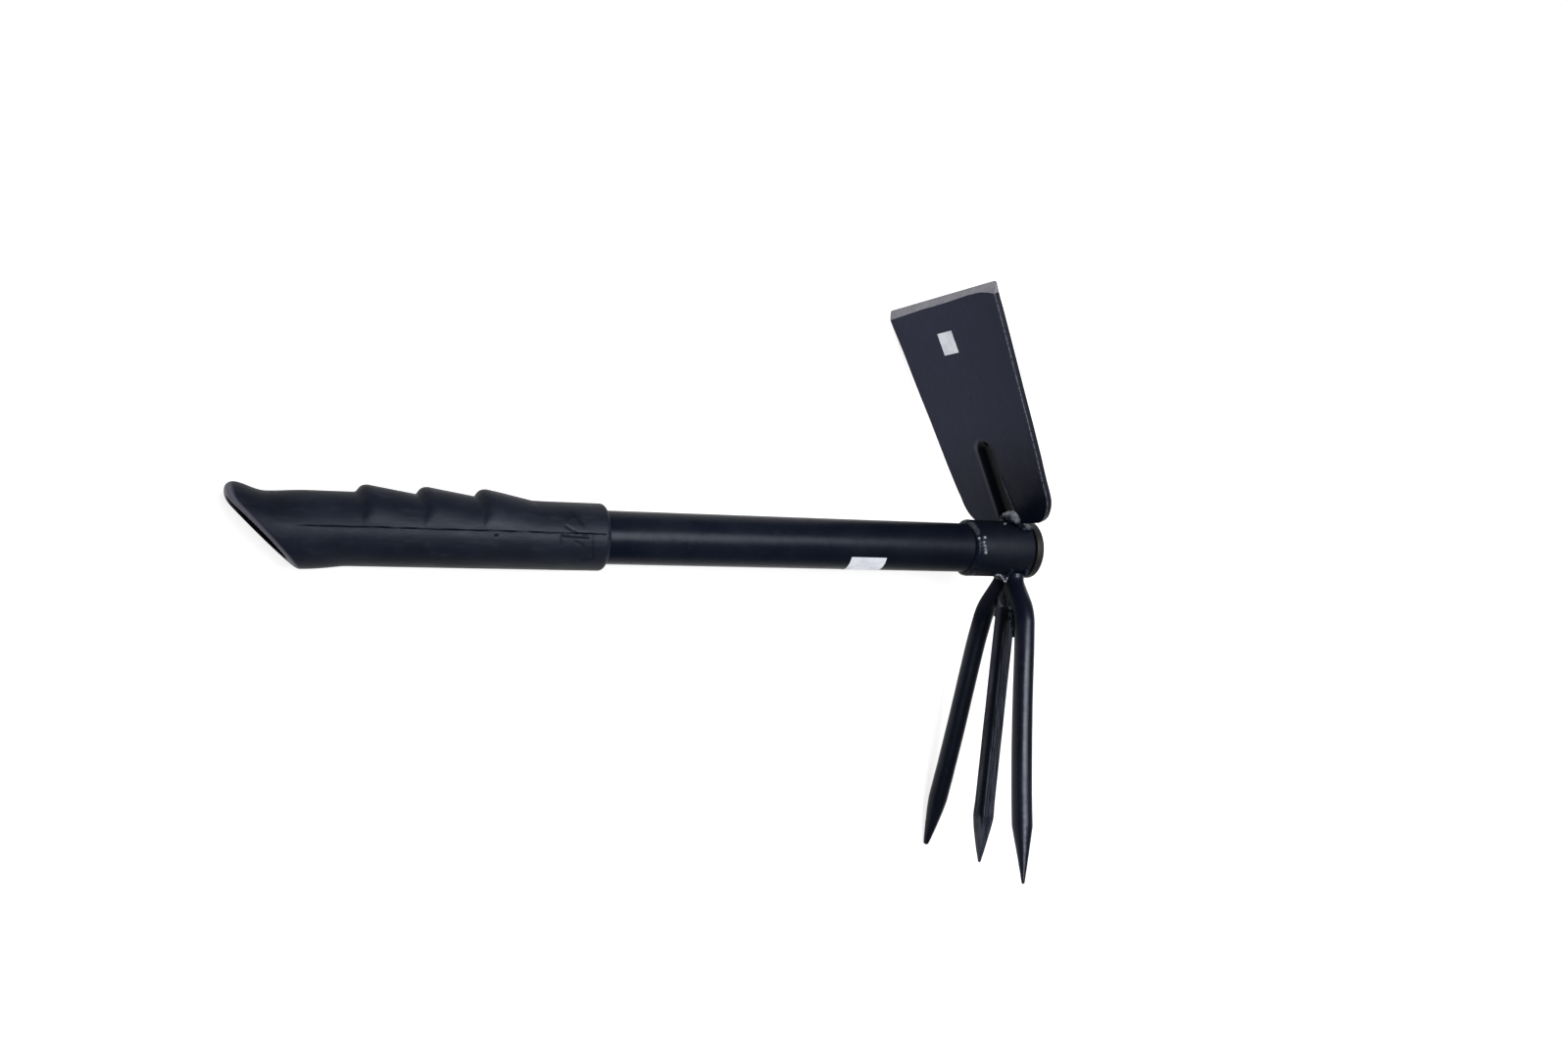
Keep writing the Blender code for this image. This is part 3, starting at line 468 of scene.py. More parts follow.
def forged_bar(name, node, path, radius, point_length, lateness, seed, square=2.0, swell=0.0, tip_radius=0.7):
    """A bar along a path, drawn out to a plain point where it is round, and to four facets where it is square."""
    is_round = square == 2
    reach = point_length * 1.7
    count = int(reach / 0.7)
    lengths = np.concatenate([[0], np.cumsum([(b - a).length for a, b in zip(path, path[1:])])])
    left = [to_end for to_end in lengths[-1] - lengths if to_end > reach]
    left += [to_end for to_end in (reach * (1 - i / count) for i in range(count)) if to_end > tip_radius]
    left += [tip_radius * share for share in (0.8, 0.5, 0.25, 0.1, 0.02, 0.0)]
    places = [np.interp(lengths[-1] - np.array(left), lengths, values) for values in zip(*path)]
    stations = [Vector(place) for place in zip(*places)]
    angles = np.linspace(0, 2 * math.pi, 72 if is_round else 144, endpoint=False)
    section = squarish(angles, square)
    off_flat = (angles + math.pi / 4) % (math.pi / 2) - math.pi / 4
    shaded = smooth((-np.cos(angles) - 0.2) / 0.35)
    rings, flat, dull = [], [], []
    for i, (place, to_end) in enumerate(zip(stations, left)):
        ahead = (stations[min(i + 1, len(stations) - 1)] - stations[max(i - 1, 0)]).normalized()
        side = Vector((1, 0, 0))
        side = (side - side.dot(ahead) * ahead).normalized()
        other = ahead.cross(side)
        bar = radius * (1 + swell * bell(to_end - point_length * 1.02, 5.5)) * section
        share = to_end / point_length
        corner = tip_radius + (radius * (1 + swell) - tip_radius) * (1 - max(0, 1 - share) ** lateness)
        if share > 1:
            corner += (share - 1) * (radius - tip_radius) * lateness
        if is_round:
            bar = np.minimum(bar, corner)
        else:
            bar = soft_least(np.minimum(bar, max(corner, 0.1)), corner * math.sqrt(0.5) / np.cos(off_flat), 0.12)
        close = min(1.0, max(0.0, to_end / tip_radius))
        bar = bar * math.sqrt(1 - (1 - close) ** 2)
        if to_end > 1:
            bar = bar + 0.05 * wander_along(seed, angles * 0 + i * 0.9, 6.0)
        rings.append(np.array(place) + np.outer(np.cos(angles) * bar, side) + np.outer(np.sin(angles) * bar, other))
        # the painted sheen, highlights and reflection of the square bar, which the material streaks along the forging
        flat.append(angles * 0 if is_round else forged_streaks_and_sheen(angles, share))
        kept = smooth((52 + place.y) / 16) if is_round else 0.55 + 0.45 * smooth((share - 0.93) / 0.14)
        dull.append(shaded * kept)
    lay_down(name, node, *skin(rings), tine_enamel, crease=28, masks={"flat": flat, "dull": dull})


def forged_streaks_and_sheen(angles, share):
    """How pale the square bar is round its section: painted sheen, highlights and reflection.

    One half of its top is painted paler as a sheen, with two ridge lines painted as highlights, its flank is painted
    paler as a reflection, and the facets of its point, painted paler too, take over from them.
    """
    across, up = np.cos(angles), np.sin(angles)
    top_sheen_and_ridge_lines = 0.62 * smooth((across + 0.30) / 0.06)
    for middle, reach, strength in ((-0.47, 0.07, 1.25), (-0.20, 0.06, 0.5), (-0.02, 0.07, -0.35)):
        top_sheen_and_ridge_lines = top_sheen_and_ridge_lines + strength * bell(across - middle, reach)
    cut = min(1.0, max(0.0, (1.10 - share) / 0.17))
    facets = 0.55 * smooth((np.abs(across) - 1.1 + 1.08 * cut) / 0.1)
    flank = 0.5 * smooth((-across - 0.72) / 0.2) * smooth((0.5 - up) / 0.3)
    return np.maximum(smooth((up - 0.2) / 0.15) * np.maximum(top_sheen_and_ridge_lines * (1 - 0.8 * cut), facets), flank)


def squarish(angles, power):
    """Radius of a section between round, at power 2, and square, with its corners at radius 1."""
    shape = (np.abs(np.cos(angles)) ** power + np.abs(np.sin(angles)) ** power) ** (-1 / power)
    return shape * 2 ** (1 / power - 0.5)


def soft_least(first, second, blend):
    """The smaller of two, with the change rounded over."""
    mean, half = (first + second) / 2, (first - second) / 2
    return mean - np.sqrt(half**2 + (blend / 2) ** 2) + blend / 2 * 0.4


# ---- grip

RIDGE_STEP = 0.05
# How far a step bows to the head, by its height on the side of the grip
RIDGE_LEAN = ((0, 0.3, 0.6, 0.85, 1), (1.0, 1.3, 2.9, 1.5, 0))
RIDGE_PLACES = np.arange(BUTT_X - 5, GRIP_FRONT_X + 5, RIDGE_STEP)


def ridge_outline():
    """Height of the finger ridges over the plain sleeve, with their corners rounded off."""
    height = np.zeros_like(RIDGE_PLACES)
    for i in range(RIDGE_COUNT):
        past = RIDGE_PLACES - (RIDGE_FIRST_X - i * RIDGE_PITCH)
        steep = (past >= -RIDGE_FACE) & (past <= 0)
        slope = (past > 0) & (past < RIDGE_PITCH - RIDGE_FACE)
        height[steep] = RIDGE_HEIGHT * (1.03 - 1.03 * (-past[steep] / RIDGE_FACE) ** 3.6)
        height[slope] = RIDGE_HEIGHT * (1 - past[slope] / (RIDGE_PITCH - RIDGE_FACE))
    reach = np.arange(-2.0, 2.0 + RIDGE_STEP, RIDGE_STEP)
    kernel = bell(reach, 0.28)
    return np.convolve(height, kernel / kernel.sum(), mode="same")


RIDGE_HEIGHTS = ridge_outline()


def grip_top(x):
    """How far the top of the plain sleeve stands out over its radius."""
    cuff_start = GRIP_FRONT_X - GRIP_CUFF_LENGTH
    neck_x = BUTT_X + LIP_ROUND_TOP + LIP_LENGTH
    to_palm = smooth((cuff_start - x) / (cuff_start - RIDGE_FIRST_X))
    to_neck = smooth(1 - (x - neck_x) / NECK_REACH)
    to_lip = smooth((neck_x - x) / LIP_LENGTH)
    return (GRIP_CUFF_RISE + (GRIP_PALM_RISE - GRIP_CUFF_RISE) * to_palm
            + (NECK_RISE - GRIP_PALM_RISE) * to_neck + (LIP_TOP_RISE - NECK_RISE) * to_lip)


def slant_run(up):
    """How far the slanted butt stands out behind its middle, at a height: it turns steeper near the top."""
    over = np.maximum(0, up - BUTT_TURN_HEIGHT)
    return np.minimum(up, BUTT_TURN_HEIGHT) + BUTT_TURN_REACH * np.tanh(over / BUTT_TURN_REACH)


# Nicks and drags in the vinyl by the cuff: ends as (place along, height round the side), width and depth
NICKS = (
    ((-257.5, 4.6), (-252.6, 1.4), 0.5, 0.35), ((-259.3, 0.9), (-259.5, -4.0), 0.45, 0.3),
    ((-258.6, -0.4), (-247.0, -0.8), 0.5, 0.3), ((-245.0, 0.4), (-243.9, -10.5), 0.4, 0.22),
    ((-248.6, -11.2), (-243.6, -11.0), 0.5, 0.25), ((-254.2, 11.5), (-249.5, 6.0), 0.7, 0.22),
    ((-256.0, 8.5), (-250.5, 9.5), 0.6, 0.18), ((-252.5, -2.5), (-249.0, -4.5), 0.6, 0.2),
    ((-289.3, -0.8), (-288.9, -0.6), 0.5, 0.4))


def grip():
    """A sleeve skinned from the cuff to the slanted butt, over its rim, and back along the bore."""
    fine = [base + step for base in (0, 180) for step in np.arange(-8, 8.01, 0.5)]
    angles = np.radians(np.unique(np.round(np.mod(np.array([*np.arange(0, 360, 3.0), *fine]), 360), 3)))
    sine, cosine = np.sin(angles), np.cos(angles)
    up, down = np.maximum(0, sine), np.maximum(0, -sine)
    rings, masks = [], {"seam": [], "rim": []}

    def skin_radius(x):
        flare = smooth(1 - (x - BUTT_X) / BUTT_FLARE_LENGTH)
        side = LIP_SIDE_RISE * flare
        rise = side + (grip_top(x) - side) * up**2 + (LIP_BOTTOM_RISE * flare - side) * down**2
        steps_from = x - np.interp(up, *RIDGE_LEAN) * (sine > 0)
        return GRIP_RADIUS + rise + np.interp(steps_from, RIDGE_PLACES, RIDGE_HEIGHTS) * up**RIDGE_FADE

    def marks(x, radius):
        """How far the mould's parting line, its flash and the nicks move the skin, and where they are painted dark,
        as shade in their grooves.
        """
        side_arc = radius * np.arctan2(sine, np.abs(cosine))
        off = side_arc - (PARTING_HEIGHT + 0.22 * noise.fractal(Vector((x / 14, 2.2, 0)), 0.6, 2.1, 3))
        shown = smooth((x - PARTING_START_X) / 10)
        torn = smooth((x - PARTING_TORN_X) / 6)
        strength = 0.55 + 0.45 * noise.noise(Vector((x / 7, 8.8, 0)))
        flash = max(0.0, noise.fractal(Vector((x / 2.6, 4.4, 1.0)), 0.6, 2.1, 2))
        dark = shown * np.minimum(1, 1.5 * strength) * bell(off, 0.36)
        moved = -0.26 * strength * bell(off, 0.30)
        moved = (moved + (0.10 + 0.22 * torn) * flash * bell(off + 0.55, 0.3)) * shown
        for start, end, width, depth in NICKS:
            run = np.array(end) - np.array(start)
            at = np.stack([np.full_like(side_arc, x), side_arc], -1) - np.array(start)
            share = np.clip(at @ run / (run @ run), 0, 1)
            cut = bell(np.hypot(*(at - share[:, None] * run).T), width) * (cosine > 0)
            moved = moved - depth * cut
            dark = np.maximum(dark, 1.6 * depth * cut)
        return moved - 0.07 * bell(x - CUFF_LINE_X, 0.3), dark

    def add(x, radius, forward=0.0, seam=0.0, rim=0.0):
        """One more ring, carried back by the slant of the butt, which is also a little skew."""
        height, across = radius * sine, radius * cosine
        near_butt = np.sqrt(smooth(1 - (x - BUTT_X) / BUTT_SLANT_LENGTH))
        along = x + forward - slant_run(height) * near_butt + BUTT_SKEW * (across + 16) * near_butt
        rings.append(np.stack([along, height, across], -1))
        masks["seam"].append(angles * 0 + seam)
        masks["rim"].append(angles * 0 + rim)

    quarter, short_quarter = np.linspace(0, math.pi / 2, 9), np.linspace(0, math.pi / 2, 5)
    for turn in short_quarter:
        add(GRIP_FRONT_X - 0.5 * (1 - math.sin(turn)), GRIP_BORE + 0.5 * (1 - math.cos(turn)))
    for turn in reversed(quarter):
        x = GRIP_FRONT_X - GRIP_CUFF_ROUND * (1 - math.sin(turn))
        add(x, skin_radius(x) - GRIP_CUFF_ROUND * (1 - math.cos(turn)))
    length = BUTT_X + LIP_ROUND_TOP - GRIP_FRONT_X + GRIP_CUFF_ROUND
    for i in range(1, GRIP_RINGS):
        x = GRIP_FRONT_X - GRIP_CUFF_ROUND + length * i / GRIP_RINGS
        radius = skin_radius(x)
        moved, dark = marks(x, radius)
        add(x, radius + moved, seam=dark)
    outer = skin_radius(BUTT_X)
    rounding = LIP_ROUND_BOTTOM + (LIP_ROUND_TOP - LIP_ROUND_BOTTOM) * (1 + sine) / 2
    # the rim of the butt is painted paler, as its highlight
    for turn in quarter:
        add(BUTT_X, outer - rounding * (1 - math.cos(turn)), rounding * (1 - math.sin(turn)), rim=smooth(turn / 0.7))
    for share in (0.35, 0.7):
        add(BUTT_X, GRIP_BORE + (outer - rounding - GRIP_BORE) * (1 - share), rim=1.0)
    for turn in short_quarter:
        add(BUTT_X, GRIP_BORE + 0.6 * (1 - math.sin(turn)), 0.6 * (1 - math.cos(turn)), rim=float(turn < 0.5))
    for x in np.linspace(BUTT_X + 3, BUTT_X + 40, 10):
        add(x, GRIP_BORE)
    lay_down("grip_fine", "grip", *skin(rings, joined=True), vinyl, "grip_rubber", 50, masks)


# ---- welds

def weld(name, node, drops, seed, rough=0.10, flats=(), pale=(), settle=8):
    """A weld run: overlapping drops melted into one skin, with the small lumps and pits of a hand weld.

    Each drop is a row with its middle and its radius. Flats are drops pressed flat, each with its middle, the
    way it faces, the way it runs, and its three half sizes. Pale spots are where the paint is thin and where
    highlights and glints are painted, each a row with its middle, reach and strength.
    """
    shape = bmesh.new()
    for *centre, radius in drops:
        bmesh.ops.create_icosphere(shape, subdivisions=3, radius=radius, matrix=Matrix.Translation(Vector(centre)))
    for centre, facing, along, half_sizes in flats:
        facing = Vector(facing).normalized()
        side = facing.cross(Vector(along)).normalized()
        turn = Matrix((side.cross(facing), side, facing)).transposed().to_4x4()
        press = Matrix.Diagonal((*half_sizes, 1.0))
        bmesh.ops.create_icosphere(
            shape, subdivisions=4, radius=1.0, matrix=Matrix.Translation(Vector(centre)) @ turn @ press)
    mesh = bpy.data.meshes.new(name + "_drops")
    shape.to_mesh(mesh)
    shape.free()
    melted = put_in_scene(name + "_drops", mesh)
    melt = melted.modifiers.new("melt", "REMESH")
    melt.mode = "VOXEL"
    melt.voxel_size = 0.3
    smoothing = melted.modifiers.new("settle", "SMOOTH")
    smoothing.factor = 0.5
    smoothing.iterations = settle
    graph = bpy.context.evaluated_depsgraph_get()
    mesh = melted.evaluated_get(graph).to_mesh()
    points = np.array([v.co for v in mesh.vertices])
    normals = np.array([v.normal for v in mesh.vertices])
    faces = [tuple(face.vertices) for face in mesh.polygons]
    melted.evaluated_get(graph).to_mesh_clear()
    bpy.data.objects.remove(melted)
    points = points + normals * (rough * wander(seed, points, 2.4, 3))[:, None]
    thin = np.zeros(len(points))
    for *centre, reach, strength in pale:
        apart = np.linalg.norm(points - np.array(centre), axis=1)
        thin = np.maximum(thin, strength * np.exp(-((apart / reach) ** 4)))
    lay_down(name, node, points, faces, weld_enamel, crease=60, masks={"thin": thin})


def ring_weld():
    """The bead round the tube at the tail end of the socket, with a few drops beside it."""
    drops = []
    for i in range(60):
        turn = 2 * math.pi * i / 60
        wobble = noise.fractal(Vector((math.cos(turn) * 2, math.sin(turn) * 2, 7.0)), 0.6, 2.1, 3)
        middle = round_handle(SOCKET_TAIL_X - 0.6 + 0.5 * wobble, TUBE_RADIUS - 0.2, turn)
        drops.append((*middle, 2.5 + 0.25 * wobble))
    drops += [
        (-39.2, 4.9, 13.6, 0.9), (-36.2, 5.4, 14.0, 1.0), (-36.9, 3.0, 14.3, 1.0), (-36.4, 0.8, 14.5, 1.1),
        (-36.0, -1.2, 14.5, 1.2), (-35.6, -2.6, 14.3, 1.0)]
    # thin paint, and painted glints and reflection on the bead
    pale = (
        (-39.7, 5.0, 14.3, 0.75, 1.0), (-36.2, 5.5, 14.7, 0.9, 1.0), (-36.9, 3.0, 15.1, 0.8, 0.7),
        (-36.5, 1.4, 15.3, 0.9, 0.6), (-36.1, -0.6, 15.5, 1.0, 0.8), (-35.8, -2.2, 15.4, 1.0, 1.0),
        (-40.2, 12.2, 7.0, 1.9, 0.14), (-40.1, 11.2, 9.6, 1.9, 0.15), (-39.8, 9.6, 11.6, 1.7, 0.14),
        (-39.5, 8.0, 12.9, 1.4, 0.12))
    weld("weld_ring_fine", "weld_socket_to_tube", drops, 11, 0.08, (), pale)


def blade_welds():
    """The beads at the foot of the blade, with the blob that fills the end of the groove."""
    def bead(start_x, drift):
        """Drops round the socket, drifting to the head towards the near side."""
        turns = np.radians(np.linspace(-42, 46, 23))
        return [(*round_handle(start_x + drift * max(0, turn) ** 2, SOCKET_RADIUS + 0.3, turn), 2.4 - 0.5 * abs(turn))
                for turn in turns]

    inner_x = BLADE_FOOT_X - math.tan(BLADE_LEAN) * SOCKET_RADIUS
    outer_x = inner_x + BLADE_THICKNESS / math.cos(BLADE_LEAN)
    inner = bead(inner_x - 0.6, 4.5) + [
        (-13.4, 17.0, -3.4, 1.2), (-13.2, 17.0, -1.0, 1.7), (-13.2, 17.2, 2.0, 2.3), (-13.4, 17.6, 5.2, 2.8),
        (-13.6, 18.6, 8.2, 2.4), (-13.0, 16.4, 9.0, 2.6), (-12.6, 14.4, 9.4, 2.3), (-12.4, 13.0, 9.4, 1.5),
        (-11.2, 13.3, 9.3, 1.4), (-10.0, 12.7, 9.9, 1.2), (-20.9, 12.9, 8.4, 0.8), (-20.0, 13.0, 8.6, 0.7)]
    flats = (
        ((-14.4, 18.2, 5.0), (-0.90, 0.25, 0.36), (0, 0.30, 1), (7.6, 2.6, 1.1)),
        ((-14.6, 16.4, 9.4), (-0.85, 0.10, 0.52), (0, -0.9, 0.5), (4.8, 2.6, 1.1)),
        ((-15.2, 16.6, 7.0), (-0.84, 0.26, 0.48), (0, 0.9, -0.4), (3.4, 3.6, 1.2)),
        ((-8.2, 11.4, 11.0), (-0.1, 0.66, 0.74), (1, -0.4, 0.3), (3.2, 2.2, 1.4)))
    # thin paint, and painted highlights and glints on the blob
    pale = (
        (-15.6, 18.6, -3.6, 1.0, 0.7), (-15.8, 18.8, -1.4, 1.3, 0.8), (-16.0, 19.0, 1.2, 1.7, 0.9),
        (-16.0, 19.3, 4.0, 2.2, 1.0), (-16.0, 20.0, 7.2, 2.6, 1.0), (-15.6, 19.6, 10.2, 2.0, 0.9),
        (-15.6, 17.2, 9.6, 2.3, 0.95), (-15.0, 15.2, 10.8, 1.6, 0.8), (-12.6, 13.9, 10.4, 0.8, 0.9),
        (-11.3, 14.0, 10.2, 0.7, 0.7), (-10.0, 13.3, 10.9, 0.7, 0.8), (-8.6, 12.2, 12.0, 1.7, 0.35),
        (-20.9, 13.3, 8.9, 0.9, 0.7))
    weld("weld_blade_inner_fine", "weld_blade_inner", inner, 12, 0.16, flats, pale, 5)
    weld("weld_blade_outer_fine", "weld_blade_outer", bead(outer_x + 0.6, 1.5), 13)


def fork_welds():
    """The beads in front of the roots of the outer tines and behind them, with their spatter."""
    centre_x = TINE_ROOT_X - OUTER_TINE_LEAN * SOCKET_RADIUS
    spatter = {
        -1: ((-24.2, -14.0, 6.4, 0.7), (-22.9, -13.8, 6.3, 0.8), (-21.4, -14.1, 6.2, 0.9), (-20.4, -14.9, 6.2, 0.8),
             (-19.6, -15.9, 6.3, 0.8), (-18.8, -17.0, 6.3, 0.9), (-18.0, -17.2, 6.4, 0.8), (-17.4, -15.7, 6.5, 0.9),
             (-16.8, -14.5, 6.5, 0.9), (-16.3, -13.5, 6.6, 0.8), (-18.6, -14.6, 5.4, 1.2), (-19.4, -14.2, 4.6, 1.6),
             (-21.4, -13.8, 4.6, 1.3), (-18.4, -15.6, 4.4, 1.4)),
        1: ((-9.6, -13.6, 6.6, 0.8), (-8.2, -13.9, 6.4, 0.9), (-7.2, -14.3, 6.0, 0.8), (-8.6, -14.6, 5.2, 1.1))}
    for node, side, seed in (("weld_fork_inner", -1, 14), ("weld_fork_outer", 1, 15)):
        x = centre_x + side * (TINE_RADIUS - 0.6)
        turns = math.pi + np.radians(np.linspace(-40, 40, 19))
        drops = [(*round_handle(x, SOCKET_RADIUS, turn), 2.2 - 0.6 * abs(turn - math.pi)) for turn in turns]
        # painted glints on the tops of the spatter
        pale = [(x - 0.3, y, z + radius * 0.8, radius * 0.7, 0.8) for x, y, z, radius in spatter[side] if z > 5.6]
        weld(node + "_fine", node, [*drops, *spatter[side]], seed, 0.22, (), pale, 3)


def crotch_weld():
    """The smooth web between the shoulders of the outer tines, behind the top of the middle one."""
    drops = []
    lean = (OUTER_TINE_LEAN + MIDDLE_TINE_LEAN) / 2
    for i, radius in enumerate((2.0, 2.6, 3.1, 3.5, 3.8, 4.0, 4.1, 4.1)):
        down = 30.6 - 9.0 * (1 - i / 7)
        drops.append((TINE_ROOT_X - lean * down, -down, 0, radius))
    drops += [
        (-14.6, -34.0, -6.4, 1.7), (-14.8, -35.6, -7.4, 1.3), (-14.6, -34.0, 6.6, 1.9), (-15.0, -36.4, 6.9, 1.5),
        (-15.2, -34.4, 9.4, 1.8), (-16.4, -34.2, 12.4, 1.9), (-19.0, -34.1, 15.3, 1.7), (-18.9, -37.0, 15.9, 1.6),
        (-19.8, -39.2, 16.6, 1.6), (-20.2, -41.1, 17.9, 1.4), (-19.9, -43.1, 17.5, 1.3), (-20.5, -45.0, 18.8, 1.0)]
    flats = [((x, y, 0.0), (-1, -0.12, 0), (0, 1, 0), half_sizes) for x, y, half_sizes in (
        (-12.8, -22.5, (6.0, 5.6, 2.2)), (-13.3, -27.5, (7.0, 8.6, 2.3)), (-13.8, -31.5, (5.4, 9.6, 2.0)))]
    # painted highlights along the edges of the web, and a faint lighter tone over it
    pale = (
        (-15.6, -26.5, 0.0, 8.0, 0.075), (-15.2, -22.0, -4.6, 0.7, 0.16), (-15.5, -24.5, -5.6, 0.8, 0.16),
        (-15.6, -27.0, -6.4, 0.8, 0.14), (-15.4, -25.0, 5.6, 0.8, 0.14), (-15.6, -28.0, 6.8, 0.9, 0.14),
        (-15.6, -34.6, -6.6, 0.8, 0.25), (-14.5, -25.4, -7.3, 1.0, 0.42), (-15.6, -26.0, -5.4, 1.0, 0.44),
        (-16.4, -26.6, -3.6, 1.0, 0.44), (-17.0, -27.2, -2.2, 1.0, 0.44), (-17.4, -27.8, -0.9, 1.0, 0.46),
        (-17.6, -29.1, 0.4, 1.0, 0.46), (-17.6, -30.4, 1.7, 1.0, 0.50), (-16.6, -31.4, 2.8, 1.0, 0.50),
        (-15.2, -31.1, 6.8, 1.0, 0.42), (-14.7, -23.8, 6.2, 1.0, 0.32))
    weld("weld_crotch_fine", "weld_crotch", drops, 16, 0.06, flats, pale)


# ---- stickers

def sticker(name, node, columns, rows, points_at):
    """A thin bare sticker with its rim closed, from the points on its front and its back at each column and row."""
    front, back = zip(*(points_at(j, i) for i in range(rows + 1) for j in range(columns + 1)))
    wide, count = columns + 1, len(front)
    faces = []
    for a in (i * wide + j for i in range(rows) for j in range(columns)):
        faces.append((a, a + 1, a + wide + 1, a + wide))
        faces.append((count + a, count + a + wide, count + a + wide + 1, count + a + 1))
    rim = ([*range(columns)] + [i * wide + columns for i in range(rows)]
           + [rows * wide + j for j in range(columns, 0, -1)] + [i * wide for i in range(rows, 0, -1)])
    faces += [(a, b, count + b, count + a) for a, b in zip(rim, rim[1:] + rim[:1])]
    lay_down(name, node, front + back, faces, foil, "label_foil", 40)


def blade_sticker():
    """The sticker on the blade: a little skew, and lifted at its two sides."""
    columns, rows = 30, 26
    left, right, low, high = BLADE_STICKER

    def points_at(j, i):
        u, v = 2 * j / columns - 1, 2 * i / rows - 1
        along = (low + high) / 2 + (high - low) / 2 * v
        across = (left + right) / 2 + (right - left) / 2 * u - 0.35 * v
        lift = 0.16 + 0.10 * max(0, (abs(u) - 0.85) / 0.15) ** 2 + 0.03 * noise.noise(Vector((u * 2, v * 2, 5.5)))
        return off_blade(across, along, lift), off_blade(across, along, 0.06)

    sticker("sticker_blade_fine", "label_blade", columns, rows, points_at)


def handle_sticker():
    """The sticker wrapped round the lower side of the tube."""
    columns, rows = 40, 40

    def points_at(j, i):
        turn = math.radians(HANDLE_STICKER_TURN + HANDLE_STICKER_WRAP * i / rows)
        x = HANDLE_STICKER_X - HANDLE_STICKER_LENGTH * j / columns
        lift = 0.14 + 0.04 * noise.noise(Vector((x / 3, turn * 5, 2.5)))
        return round_handle(x, TUBE_RADIUS + lift, turn), round_handle(x, TUBE_RADIUS + 0.04, turn)

    sticker("sticker_handle_fine", "label_handle", columns, rows, points_at)


# ---- materials

class Graph:
    """Short forms for making the nodes of a material, or of the world."""

    def __init__(self, name, kind="materials"):
        self.owner = getattr(bpy.data, kind).new(name)
        self.owner.use_nodes = True
        self.nodes, self.links = self.owner.node_tree.nodes, self.owner.node_tree.links
        self.shader = self.nodes.get("Principled BSDF")

    @cached_property
    def place(self):
        """Where a point is in the tool's own millimetres."""
        return self.attribute("place", "Vector")

    def put(self, socket, value):
        if isinstance(value, bpy.types.NodeSocket):
            self.links.new(value, socket)
        elif isinstance(value, tuple) and len(value) == 3 and socket.type == "RGBA":
            socket.default_value = (*value, 1.0)
        else:
            socket.default_value = value

    def node(self, kind, out=0, settings=(), places=(), **inputs):
        """The output of a new node, with its inputs given by place, or by name with _ for a space."""
        made = self.nodes.new("ShaderNode" + kind)
        for key, value in dict(settings).items():
            setattr(made, key, value)
        for key, value in dict(places).items():
            self.put(made.inputs[key], value)
        for key, value in inputs.items():
            self.put(next(s for s in made.inputs if s.name == key.replace("_", " ") and s.enabled), value)
        return made.outputs[out]

    def attribute(self, name, out="Fac"):
        return self.node("Attribute", out, {"attribute_name": name})

    def noise(self, scale, detail, roughness=0.55, stretch=None, place=None):
        place = self.place if place is None else place
        if stretch:
            place = self.node("Mapping", Vector=place, Scale=stretch)
        return self.node("TexNoise", Vector=place, Scale=scale, Detail=detail, Roughness=roughness)

    def range(self, value, low, high, to_low=0.0, to_high=1.0, kind="LINEAR"):
        return self.node("MapRange", 0, {"interpolation_type": kind}, Value=value, From_Min=low, From_Max=high,
                         To_Min=to_low, To_Max=to_high)

    def math(self, operation, first, second):
        return self.node("Math", 0, {"operation": operation}, {0: first, 1: second})

    def times(self, first, second):
        return self.math("MULTIPLY", first, second)

    def plus(self, first, second):
        return self.math("ADD", first, second)

    def mix(self, share, first, second):
        return self.node("Mix", 2, {"data_type": "RGBA"}, {0: share, 6: first, 7: second})

    def bump(self, height, distance, strength=1.0, normal=None):
        under = {} if normal is None else {"Normal": normal}
        return self.node("Bump", Strength=strength, Distance=distance, Height=height, **under)

    def ray(self, *kinds):
        """1 for the rays of the kinds named."""
        path = self.node("LightPath").node
        shown = path.outputs[f"Is {kinds[0]} Ray"]
        for kind in kinds[1:]:
            shown = self.math("MAXIMUM", shown, path.outputs[f"Is {kind} Ray"])
        return shown

    def set(self, **inputs):
        for key, value in inputs.items():
            self.put(self.shader.inputs[key.replace("_", " ")], value)
        return self.owner

    def show(self, output, ray, plain, shown):
        """Makes the surface one shader for the rays chosen, and the plain one for all others."""
        mixed = self.node("MixShader", places={0: ray, 1: plain, 2: shown})
        self.links.new(mixed, self.nodes[output].inputs["Surface"])
        return self.owner


PAINT = (0.0034, 0.0046, 0.0082)
PAINT_DEEP = (0.0016, 0.0024, 0.0056)
PAINT_DUST = (0.010, 0.012, 0.019)
# the colour that the handle's enamel turns to towards the head
HEAD_END_DARKENING = (0.0012, 0.0016, 0.0036)
TINE_PAINT = (0.0022, 0.0028, 0.0066)
TINE_PAINT_DEEP = (0.0012, 0.0016, 0.0042)
# forged streaks, and the painted sheen, highlights and reflection of the square bar
FORGED_STREAK_AND_SHEEN = (0.046, 0.051, 0.066)
# The blade's enamel is lighter and bluer than the handle's: the difference is a painted reflection
BLADE_PAINT_AND_REFLECTION = (0.0125, 0.0145, 0.0320)
BLADE_PAINT_DEEP_AND_REFLECTION = (0.0105, 0.0122, 0.0275)
# painted shade towards the foot of the blade
BLADE_FOOT_SHADE = (0.0022, 0.0030, 0.0078)
# painted shade on the cut sides and the back of the plate
BLADE_SIDE_SHADE = (0.0060, 0.0064, 0.0100)
BLADE_SCUFF = (0.0040, 0.0052, 0.0120)
# painted shade in the pressed groove
GROOVE_SHADE = (0.0016, 0.0020, 0.0034)
GROOVE_SHEEN = (0.058, 0.060, 0.074)
# worn paint on the arrises, and the painted highlight along the lip's crest
WORN_PAINT_AND_LIP_HIGHLIGHT = (0.110, 0.112, 0.125)
